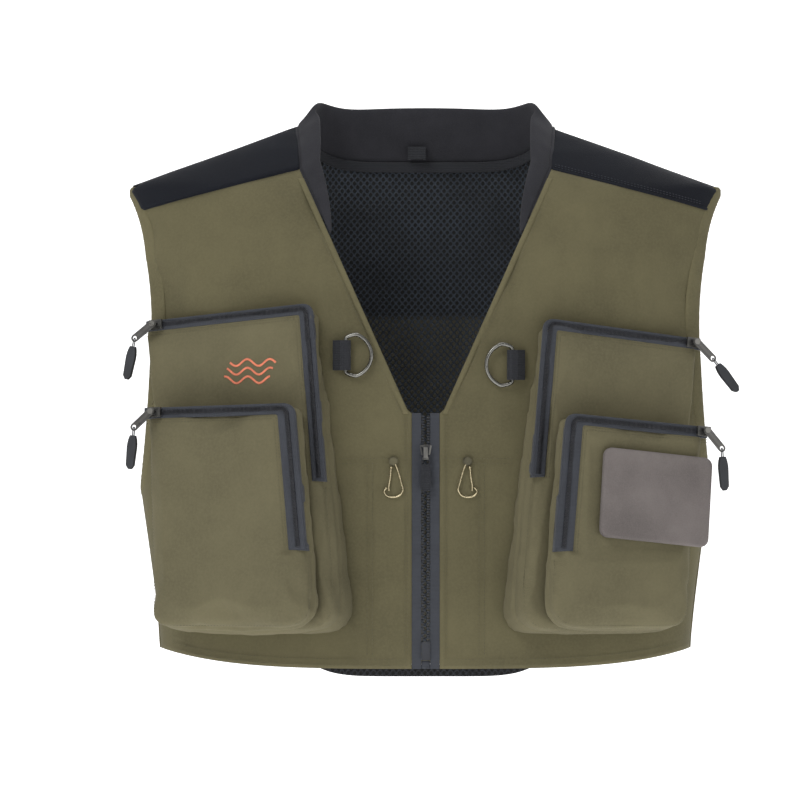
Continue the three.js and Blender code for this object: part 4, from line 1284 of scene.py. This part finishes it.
def blow_up(obj, small):
    """Voxel remesh, a short pressure simulation held at the back, a capped movement, a subdivision."""
    remesh = obj.modifiers.new("Remesh", "REMESH")
    remesh.mode, remesh.voxel_size = "VOXEL", VOXEL
    applied(obj)
    count = len(obj.data.vertices)
    start = np.zeros(count * 3, np.float32)
    obj.data.vertices.foreach_get("co", start)
    start = start.reshape(-1, 3)
    moved = start.copy()
    held = obj.vertex_groups.new(name="held")
    depth = start[:, 1] / MM
    deepest = depth.max()
    grip = 5 if small else 26
    held.add([int(i) for i in np.nonzero(depth > deepest - grip)[0]], 1.0, "REPLACE")
    cloth = obj.modifiers.new("Cloth", "CLOTH")
    cloth.settings.quality = 4
    cloth.settings.use_pressure = True
    cloth.settings.uniform_pressure_force = 4
    cloth.settings.effector_weights.gravity = 0
    cloth.settings.vertex_group_mass = "held"
    cloth.settings.bending_stiffness = 0.3
    cloth.collision_settings.use_collision = False
    cloth.point_cache.frame_start, cloth.point_cache.frame_end = 1, SWELL_FRAMES
    scene = bpy.context.scene
    for step in range(1, SWELL_FRAMES + 1):
        scene.frame_set(step)
    graph = bpy.context.evaluated_depsgraph_get()
    result = obj.evaluated_get(graph).data
    now = np.zeros(count * 3, np.float32)
    result.vertices.foreach_get("co", now)
    now = now.reshape(-1, 3)
    obj.modifiers.clear()
    obj.vertex_groups.clear()
    scene.frame_set(1)
    shift = now - start
    length = np.maximum(np.linalg.norm(shift, axis=1, keepdims=True), 1e-9)
    moved = start + shift * np.minimum(1, MOST_SWELL * MM / length)
    obj.data.vertices.foreach_set("co", moved.reshape(-1))
    obj.data.update()
    smooth = obj.modifiers.new("Smooth", "SMOOTH")
    smooth.factor, smooth.iterations = 0.5, 2
    finer = obj.modifiers.new("Finer", "SUBSURF")
    finer.levels = finer.render_levels = 1
    applied(obj)


class Skin:
    """Finds a bag's front surface at any place of the pocket's own axes."""

    def __init__(self, obj, matrix):
        self.matrix = matrix
        self.tree = BVHTree.FromPolygons(
            [v.co.copy() for v in obj.data.vertices], [tuple(f.vertices) for f in obj.data.polygons]
        )
        self.forward = ((matrix.to_3x3() @ Vector((0, -1, 0)))).normalized()

    def depth(self, x, z):
        start = to_frame(self.matrix, (x, -40, z))
        hit, _, _, distance = self.tree.ray_cast(start, -self.forward)
        return 3.0 if hit is None else min(distance / MM - 40, 9.0)

    def at(self, x, z, lift=0.0, low=-40.0, high=40.0):
        y = min(max(self.depth(x, z) - lift, low), high)
        return to_frame(self.matrix, (x, y, z))


def zip_tape(name, skin, p, size):
    """The cloth tape of a pocket zip, laid on the bag's skin in an L."""
    across = 10
    lines = []
    for k in range(across + 1):
        share = 0.07 + 0.93 * k / across
        lines.append(zip_route(p, TAPE_SIDE[size] * share, TAPE_TOP * share))
    columns = len(lines[0])
    outer, inner = [], []
    for k, line in enumerate(lines):
        for q in line:
            outer.append(skin.at(q.x, q.y, 0.55, low=-0.3, high=TAPE_DEEPEST))
            inner.append(skin.at(q.x, q.y, -0.8))
    faces = two_sided_faces(columns, across + 1)
    return face_outwards(mesh_object(name, outer + inner, faces, LOOK["tape"]))


def on_skin(skin, route, lift, low=-40.0):
    return [(skin.at(q.x, q.y, lift, low), skin.forward) for q in route]


def zip_coil(name, skin, p, size):
    route = zip_route(p, TAPE_SIDE[size] * 0.5, TAPE_TOP * 0.5, stop=3.5, count=90)
    path = on_skin(skin, route, 0.45, low=-1.3)
    return repeated(name, "tooth", [path], 0.0013, (0.00042, 0.0021, 0.0007), LOOK["coil"], bevel=0.0002)


def pocket_stitches(name, skin, p, size):
    """Two sewn rows inside the tape and one round the rest of the pocket's edge."""
    corners = pocket_corners(p)
    routes = []
    for extra in (1.6, 4.0):
        line = zip_route(p, TAPE_SIDE[size] + extra, TAPE_TOP + extra)
        routes.append(on_skin(skin, line, 0.12))
    inset = 4.0
    ring = outline(inset_corners(corners, [inset] * 4), inset, step=5)
    keep = [q for q in ring if q.y < p["inner"] - p["drop"] - 4 or q.x > p["bottom"] * 0.75]
    keep = [q for q in keep if q.y < p["outer"] - TAPE_TOP - 6]
    routes.append(on_skin(skin, split_low(keep), 0.12))
    return repeated(name, "stitch", routes, 0.0031, STITCH, LOOK["thread"])


def split_low(points):
    """Orders the outline's kept points from the inner side, round the bottom, to the outer side."""
    inner = [q for q in points if q.x < 40 and q.y > 30]
    outer = [q for q in points if q.x > 90 and q.y > 24]
    low = [q for q in points if q not in inner and q not in outer]
    inner.sort(key=lambda q: -q.y)
    low.sort(key=lambda q: q.x)
    outer.sort(key=lambda q: q.y)
    return inner + low + outer


def wave_mark(name, skin):
    """Three embroidered wave lines."""
    routes = []
    for row in range(3):
        line = []
        for i in range(60):
            t = i / 59
            x = 34 + 46 * t + row * 3
            z = 252 - row * 8 + 3.2 * math.sin(t * 4 * math.pi + row * 0.9)
            line.append(Vector((x, z)))
        routes.append(on_skin(skin, line, 0.25))
    return repeated(name, "stitch", routes, 0.00065, (0.0004, 0.0013, 0.00035), LOOK["coral"])


# ---- Hardware ----
def surface_yaw(x, z):
    return math.atan((depth_at(x - 10, z) - depth_at(x + 10, z)) / 20)


def ring_matrix(side):
    """Where the D-ring's bar stands, from its webbing tab's box."""
    x, z = (80, 296) if side == "left" else (74, 305)
    yaw = surface_yaw(x, z)
    depth = max(depth_at(x, z), depth_at(x, z - 14))
    stand = 4.9
    place = Matrix.Translation((x + math.sin(yaw) * stand, -depth - math.cos(yaw) * stand, z))
    return Matrix.Diagonal((SIDES[side], 1, 1, 1)) @ place @ Matrix.Rotation(yaw, 4, "Z")


def hook_matrix(side):
    x, z = (39, 206) if side == "left" else (30, 206)
    yaw = surface_yaw(x, z)
    depth = max(depth_at(x, z), depth_at(x, z - 14))
    place = Matrix.Translation((x, -depth, z)) @ Matrix.Rotation(yaw, 4, "Z")
    return Matrix.Diagonal((SIDES[side], 1, 1, 1)) @ place @ Matrix.Translation((0, -2.6, 0))


def d_ring(name, side):
    half, corner, reach = 20, 4, 24
    points = [Vector((0, 0, z)) for z in (-half + corner, -half / 2, 0, half / 2, half - corner)]
    for i in range(9):
        a = math.radians(75 - 150 * i / 8)
        points.append(Vector((-corner - (reach - corner) * math.cos(a), 0, half * math.sin(a))))
    matrix = ring_matrix(side)
    route = [to_frame(matrix, q) for q in smooth_path(points, 120, closed=True)]
    return tube(name, route, 1.8 * MM, LOOK["nickel"], sides=16, closed=True)


def snap_hook(name, side):
    matrix = hook_matrix(side)
    leg = [
        (-1.4, -2.2), (-4, -8.6), (-7.5, -21.1), (-8.8, -26.7), (-5.5, -32),
        (0, -33.6), (6, -32.4), (8.8, -28), (6.6, -24.8),
    ]
    points = [Vector((x, 0, z)) for x, z in leg]
    route = [to_frame(matrix, q) for q in smooth_path(points, 70)]
    wire = tube(name, route, 0.8 * MM, LOOK["wire"], sides=12)
    eye = [to_frame(matrix, (2.6 * math.cos(a), 0, 2.6 * math.sin(a))) for a in turns(40)]
    ring = tube(name + "_eye", eye, 0.8 * MM, LOOK["wire"], sides=12, closed=True)
    return joined(wire, ring)


def hook_gate(name, side):
    matrix = hook_matrix(side)
    arm = [(2.4, -6.4), (3.2, -15.5), (4.4, -23), (4.2, -27.6)]
    route = [to_frame(matrix, q) for q in smooth_path([Vector((x, 0, z)) for x, z in arm], 40)]
    wire = tube(name, route, 0.8 * MM, LOOK["wire"], sides=12)
    pin = [to_frame(matrix, (2.2, -0.95 + 1.9 * i / 6, -6)) for i in range(7)]
    return joined(wire, tube(name + "_pin", pin, 1.25 * MM, LOOK["wire"], sides=14))


def joined(first, second):
    """Both meshes in the first object; the second object goes."""
    work = bmesh.new()
    work.from_mesh(first.data)
    work.from_mesh(second.data)
    work.to_mesh(first.data)
    work.free()
    bpy.data.objects.remove(second)
    first.data.shade_smooth()
    return first


def fly_patch(name):
    """The felt-faced foam pad, with rolled edges and slightly pressed corners."""
    matrix = pocket_matrix("left", True) @ Matrix.Translation((PATCH_CENTRE[0], 0, PATCH_CENTRE[1]))
    matrix = matrix @ Matrix.Rotation(PATCH_TILT, 4, "Y")
    width, height = PATCH_SIZE
    profile = [(1.4, -1.95), (0.4, -2.3), (0, -3.0), (0, -6.2), (0.4, -7.1), (1.3, -7.8), (2.8, -8.0)]
    profile += [(5, -8.0), (9, -7.9), (15, -8.0), (22, -8.0), (30, -7.95)]
    points, count = [], 0
    for inset, y in profile:
        ring = rounded_rectangle(width - 2 * inset, height - 2 * inset, max(8 - inset, 1.5))
        count = len(ring)
        for x, z in ring:
            dent = 0.35 * noise.noise(Vector((x * 0.06, z * 0.06, y))) if y < -6 else 0
            points.append(to_frame(matrix, (x, max(y + abs(dent), -8.0), z)))
    faces = grid_faces(count, len(profile), wrap_columns=True) + end_caps(count, len(profile))
    return face_outwards(mesh_object(name, points, faces, LOOK["foam"]))


def rounded_rectangle(width, height, radius, corner=6, side=9):
    made = []
    corners = [(1, -1, -90), (1, 1, 0), (-1, 1, 90), (-1, -1, 180)]
    arcs = []
    for sx, sz, start in corners:
        cx, cz = sx * (width / 2 - radius), sz * (height / 2 - radius)
        arc = []
        for i in range(corner + 1):
            a = math.radians(start + 90 * i / corner)
            arc.append((cx + radius * math.cos(a), cz + radius * math.sin(a)))
        arcs.append(arc)
    for i, arc in enumerate(arcs):
        made += arc
        (x0, z0), (x1, z1) = arc[-1], arcs[(i + 1) % 4][0]
        made += [(x0 + (x1 - x0) * k / side, z0 + (z1 - z0) * k / side) for k in range(1, side)]
    return made


def chain_teeth(name, side):
    """Moulded teeth of one side of the front zip, staggered against the other side's."""
    sign = SIDES[side]
    out = (0, -1, 0)
    low, top = 38, 248
    offset = 0 if side == "left" else 1.25
    y = -BODY_HALF_DEPTH + 0.6
    row = [(in_frame(sign * 2.42, y, z + offset), out) for z in np.linspace(low, top - 1.3, 90)]
    return repeated(name, "tooth", [row], 0.0025, (0.00065, 0.00142, 0.0016), LOOK["teeth"], bevel=0.0003)


def panel_stitches(name, dark):
    """Sewn lines of the body: seams, hems, edges and the welts above the hooks."""
    routes = []
    for sign in (1, -1):
        if dark:
            for drop in (-3.0, -5.2):
                seam = [(x, front_seam(x) - drop) for x in np.linspace(122, 258, 60)]
                routes.append(body_line(sign, seam, -1))
            continue
        xs = np.linspace(18, 236, 90)
        for rise in (3.0, 9.0):
            routes.append(body_line(sign, [(x, front_hem(x) + rise) for x in xs], -1))
            routes.append(body_line(sign, [(x, front_hem(x) + rise) for x in xs], 1))
        zs = np.linspace(ZIP_TOP + 4, 440, 80)
        routes.append(body_line(sign, [(neck_edge(z) + 7.0, z) for z in zs], -1))
        for x in (17.0, 19.4):
            routes.append(body_line(sign, [(x, z) for z in np.linspace(26, ZIP_TOP - 4, 80)], -1))
        for x in (49.5, 54.5):
            routes.append(body_line(sign, [(x, z) for z in np.linspace(26, 204, 70)], -1))
        routes.append(body_line(sign, [(x, 208.6) for x in np.linspace(16, 80, 30)], -1))
        routes.append(body_line(sign, [(x, 203.6) for x in np.linspace(46, 80, 20)], -1))
        routes.append(body_line(sign, [(x, 339.0) for x in np.linspace(2, 262, 100)], 1))
    return repeated(name, "stitch", routes, 0.0032, STITCH, LOOK["dark_thread" if dark else "thread"])


def body_line(sign, points, face):
    made = []
    for x, z in points:
        w = half_width(z)
        share = min(abs(x) / w, 0.999)
        y = depth_at(x, z)
        out = Vector((sign * share * y / w * 2, face * max(1 - share, 0.08), 0)).normalized()
        made.append((in_frame(sign * x + out.x * STITCH_LIFT, face * y + out.y * STITCH_LIFT, z), out))
    return made


# ---- Carried-over frame pieces ----
CARRIED = {
    "tape": (["front_zip_tape_left", "front_zip_tape_right"], 0.0),
    "webbing": (
        ["d_ring_tab_left", "d_ring_tab_right", "hang_loop", "front_zip_pull", "fly_patch_backing"],
        0.0004,
    ),
    "dark_metal": (["front_zip_slider"], 0.0003),
    "teeth": (["front_zip_box"], 0.0004),
    "thread": (["hook_anchor_left", "hook_anchor_right"], 0.0003),
}


def soften(node, width, material):
    """Gives a frame piece its finish and, where a width is given, softened edges."""
    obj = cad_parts[node]
    obj.data.materials.clear()
    obj.data.materials.append(material)
    if width:
        edge = obj.modifiers.new("Softened edges", "BEVEL")
        edge.width, edge.segments = width, 3
        edge.limit_method, edge.angle_limit = "ANGLE", math.radians(32)
        edge.harden_normals = False
        obj.data.shade_smooth()
        level = obj.modifiers.new("Level faces", "WEIGHTED_NORMAL")
        level.keep_sharp = False


# ---- Sizes and colours that a user would change ----
SWATCH = dict(subtype="COLOR", size=4, min=0, max=1)


class VestCloth(bpy.types.PropertyGroup):
    body: bpy.props.FloatVectorProperty(
        name="Body cloth", description="Colour of the body", default=OLIVE, **SWATCH
    )
    pocket: bpy.props.FloatVectorProperty(
        name="Pocket cloth", description="Colour of the pockets", default=POCKET_OLIVE, **SWATCH
    )
    yoke: bpy.props.FloatVectorProperty(
        name="Yoke cloth", description="Colour of the yokes", default=NAVY, **SWATCH
    )
    collar: bpy.props.FloatVectorProperty(
        name="Collar", description="Colour of the collar", default=CHARCOAL, **SWATCH
    )
    tape: bpy.props.FloatVectorProperty(
        name="Zip tape", description="Colour of the zip tapes", default=SLATE, **SWATCH
    )
    patch: bpy.props.FloatVectorProperty(
        name="Fly patch", description="Colour of the patch", default=srgb(106, 100, 98), **SWATCH
    )
    mark: bpy.props.FloatVectorProperty(
        name="Mark", description="Colour of the sewn mark", default=srgb(226, 128, 98), **SWATCH
    )


class VestStage(bpy.types.PropertyGroup):
    distance: bpy.props.FloatProperty(
        name="Camera distance", description="From the camera to the vest", default=7.0, min=1, unit="LENGTH"
    )
    view_width: bpy.props.FloatProperty(
        name="View width", description="Width seen at the vest", default=0.76, min=0.1, unit="LENGTH"
    )
    floor_drop: bpy.props.FloatProperty(
        name="Floor drop", description="From the hem down to the floor", default=0.22, min=0, unit="LENGTH"
    )


class VEST_OT_materials(bpy.types.Operator):
    """Makes the vest's cloths, metals and threads"""

    bl_idname = "vest.materials"
    bl_label = "Materials"

    def execute(self, context):
        make_materials(context.scene.vest_cloth)
        return {"FINISHED"}


class VEST_OT_panels(bpy.types.Operator):
    """Cuts and folds the body's cloth panels, lining, bindings and their sewn lines"""

    bl_idname = "vest.panels"
    bl_label = "Cloth panels"

    def execute(self, context):
        for side in SIDES:
            panel = front_panel("front_cloth_" + side, side)
            placed(panel, "vest", "front_panel_" + side, slot="olive_fabric")
            declare_sheet(panel, 0.40, 0.48)
            yoke = shoulder_yoke("shoulder_cloth_" + side, side)
            placed(yoke, "vest", "shoulder_yoke_" + side, slot="yoke_fabric")
            declare_sheet(yoke, 0.20, 0.16)
            binding = armhole_binding("armhole_edge_" + side, side)
            placed(binding, "vest", "armhole_binding_" + side, slot="binding_tape")
            placed(neck_facing("neck_facing_" + side, side), "vest", slot="binding_tape")
        back = back_panel("back_cloth")
        placed(back, "vest", "back_panel", slot="olive_fabric")
        declare_sheet(back, 0.72, 0.34)
        yoke = back_yoke("back_yoke_cloth")
        placed(yoke, "vest", "back_yoke", slot="yoke_fabric")
        declare_sheet(yoke, 0.60, 0.16)
        lining = back_lining("lining_mesh")
        placed(lining, "vest", "back_lining", slot="mesh_lining")
        declare_sheet(lining, 0.72, 0.48)
        placed(hem_band("hem_mesh_band"), "vest", "back_hem_band", slot="mesh_lining")
        placed(neck_tape("neck_tape"), "vest", slot="webbing")
        for cord in seam_cords():
            placed(cord, "vest", slot="yoke_fabric")
        placed(zip_end("zip_tape_end"), "vest", slot="zip_tape")
        placed(panel_stitches("body_stitches", False), "vest", slot="olive_fabric")
        placed(panel_stitches("yoke_stitches", True), "vest", slot="yoke_fabric")
        return {"FINISHED"}


class VEST_OT_collar(bpy.types.Operator):
    """Makes the padded stand-up collar"""

    bl_idname = "vest.collar"
    bl_label = "Collar"

    def execute(self, context):
        pad = collar("collar_pad")
        placed(pad, "vest", "collar", slot="collar_fabric")
        return {"FINISHED"}


class VEST_OT_pockets(bpy.types.Operator):
    """Blows up the four pockets and lays their tapes, coils, stitches and mark on them"""

    bl_idname = "vest.pockets"
    bl_label = "Pockets"

    def execute(self, context):
        for side in SIDES:
            for size in ("large", "small"):
                node = f"{size}_pocket_{side}"
                p = POCKETS[side][size]
                pouch = bag(f"{size}_bag_{side}", side, size, LOOK["pocket_" + side])
                skin = Skin(pouch, pocket_matrix(side, size == "small"))
                placed(pouch, "vest", node + "_walls", node + "_front", slot="pocket_fabric")
                tape = zip_tape(f"{size}_zip_cloth_{side}", skin, p, size)
                placed(tape, "vest", node + "_zip_tape", slot="zip_tape")
                tape_skin = Skin(tape, pocket_matrix(side, size == "small"))
                coil = zip_coil(f"{size}_zip_teeth_{side}", tape_skin, p, size)
                placed(coil, "vest", node + "_zip_coil", slot="zip_coil")
                sewn = pocket_stitches(f"{size}_stitches_{side}", skin, p, size)
                placed(sewn, "vest", slot="pocket_fabric")
                if side == "right" and size == "large":
                    placed(wave_mark("wave_mark", skin), "vest", slot="pocket_fabric")
        return {"FINISHED"}


class VEST_OT_hardware(bpy.types.Operator):
    """Makes the rings, hooks, teeth and patch, and finishes the pieces carried over from the frame"""

    bl_idname = "vest.hardware"
    bl_label = "Hardware"

    def execute(self, context):
        for side in SIDES:
            placed(d_ring("ring_" + side, side), "d_ring_" + side, "d_ring_" + side, slot="nickel")
            hook = snap_hook("hook_" + side, side)
            placed(hook, "snap_hook_" + side, "snap_hook_" + side, slot="hook_wire")
            gate = hook_gate("gate_" + side, side)
            placed(gate, "snap_hook_gate_" + side, "snap_hook_gate_" + side, slot="hook_wire")
            teeth = chain_teeth("front_teeth_" + side, side)
            placed(teeth, "vest", "front_zip_teeth_" + side, slot="zip_coil")
            for size in ("large", "small"):
                node = f"{size}_pocket_{side}_"
                soften(node + "slider", 0.0003, LOOK["dark_metal"])
                soften(node + "puller", 0.00025, LOOK["dark_metal"])
                soften(node + "pull_tip", 0.0009, LOOK["rubber"])
        for finish, (nodes, width) in CARRIED.items():
            for node in nodes:
                soften(node, width, LOOK[finish])
        patch = fly_patch("felt_pad")
        placed(patch, "fly_patch", "fly_patch", slot="patch_foam")
        return {"FINISHED"}


# Each light's name, place from the vest's middle, size and watts.
LIGHTS = (
    ("Key", (-1.3, -1.9, 1.9), 1.2, 30),
    ("Fill", (1.9, -1.8, 0.3), 1.8, 6),
    ("Top", (0, 0.1, 1.9), 1.2, 15),
    ("Rear", (0.7, 1.9, 1.1), 1.6, 16),
)
VIEW_CENTRE = (-24, 0, 265)
CAMERA_DROP = 0.11
WORLD_STRENGTH = 0.36


class VEST_OT_stage(bpy.types.Operator):
    """Makes the floor, the lights, the camera and the surroundings"""

    bl_idname = "vest.stage"
    bl_label = "Stage"

    def execute(self, context):
        scene = context.scene
        stage = scene.vest_stage
        floor_level = CAD_BOX[0].z - stage.floor_drop
        floor = sweep(floor_level)
        target = in_frame(*VIEW_CENTRE)
        camera = bpy.data.objects.new("Camera", bpy.data.cameras.new("Camera"))
        scene.collection.objects.link(camera)
        camera.location = target + Vector((0, -stage.distance, -CAMERA_DROP))
        camera.rotation_euler = (target - camera.location).to_track_quat("-Z", "Y").to_euler()
        camera.data.lens = camera.data.sensor_width * stage.distance / stage.view_width
        camera.data.clip_end = 50
        scene.camera = camera
        for name, offset, size, watts in LIGHTS:
            area_light(name, target + Vector(offset), target, size, watts)
        world = bpy.data.worlds.new("Studio")
        world.use_nodes = True
        world.node_tree.nodes["Background"].inputs["Color"].default_value = (1, 1, 1, 1)
        world.node_tree.nodes["Background"].inputs["Strength"].default_value = WORLD_STRENGTH
        scene.world = world
        scene.view_settings.view_transform = "Standard"
        return {"FINISHED"}


def area_light(name, place, target, size, watts):
    light = bpy.data.lights.new(name, "AREA")
    light.size, light.energy = size, watts
    obj = bpy.data.objects.new(name, light)
    bpy.context.scene.collection.objects.link(obj)
    obj.location = place
    obj.rotation_euler = (target - place).to_track_quat("-Z", "Y").to_euler()


def sweep(level):
    """A pale floor that curves up into a wall behind."""
    paper = Finish("Studio paper", (0.9, 0.9, 0.9, 1), 0.95)
    grain = paper.noise(paper.coordinates(), 3, 2)
    paper.shade(paper.mix(grain, (0.88, 0.88, 0.88, 1), (0.92, 0.92, 0.92, 1)))
    paper.shader.inputs["Emission Color"].default_value = (1, 1, 1, 1)
    paper.shader.inputs["Emission Strength"].default_value = 0.8
    reach, bend_radius = 9.0, 2.0
    profile = [(-12.0, 0.0), (reach, 0.0)]
    for a in np.linspace(0.1, math.pi / 2, 12):
        profile.append((reach + bend_radius * math.sin(a), bend_radius * (1 - math.cos(a))))
    profile += [(reach + bend_radius, 10.0)]
    points = [(x, y, level + z) for y, z in profile for x in (-12.0, 12.0)]
    return mesh_object("floor", points, grid_faces(2, len(profile)), paper.material)


STEPS = (
    VEST_OT_materials,
    VEST_OT_panels,
    VEST_OT_collar,
    VEST_OT_pockets,
    VEST_OT_hardware,
    VEST_OT_stage,
)


class VEST_PT_sidebar(bpy.types.Panel):
    """Lists the vest's sizes, colours and steps"""

    bl_idname = "VEST_PT_sidebar"
    bl_label = "Fishing Vest"
    bl_space_type = "VIEW_3D"
    bl_region_type = "UI"
    bl_category = "Vest"

    def draw(self, context):
        for group in (context.scene.vest_cloth, context.scene.vest_stage):
            for name in group.__annotations__:
                self.layout.prop(group, name)
        for step in STEPS:
            self.layout.operator(step.bl_idname)


CLASSES = (VestCloth, VestStage, *STEPS, VEST_PT_sidebar)


def register():
    for cls in CLASSES:
        bpy.utils.register_class(cls)
    bpy.types.Scene.vest_cloth = bpy.props.PointerProperty(type=VestCloth)
    bpy.types.Scene.vest_stage = bpy.props.PointerProperty(type=VestStage)


def unregister():
    del bpy.types.Scene.vest_stage
    del bpy.types.Scene.vest_cloth
    for cls in reversed(CLASSES):
        bpy.utils.unregister_class(cls)


def main():
    register()
    bpy.ops.vest.materials()
    bpy.ops.vest.panels()
    bpy.ops.vest.collar()
    bpy.ops.vest.pockets()
    bpy.ops.vest.hardware()
    bpy.ops.vest.stage()


if __name__ == "__main__":
    main()
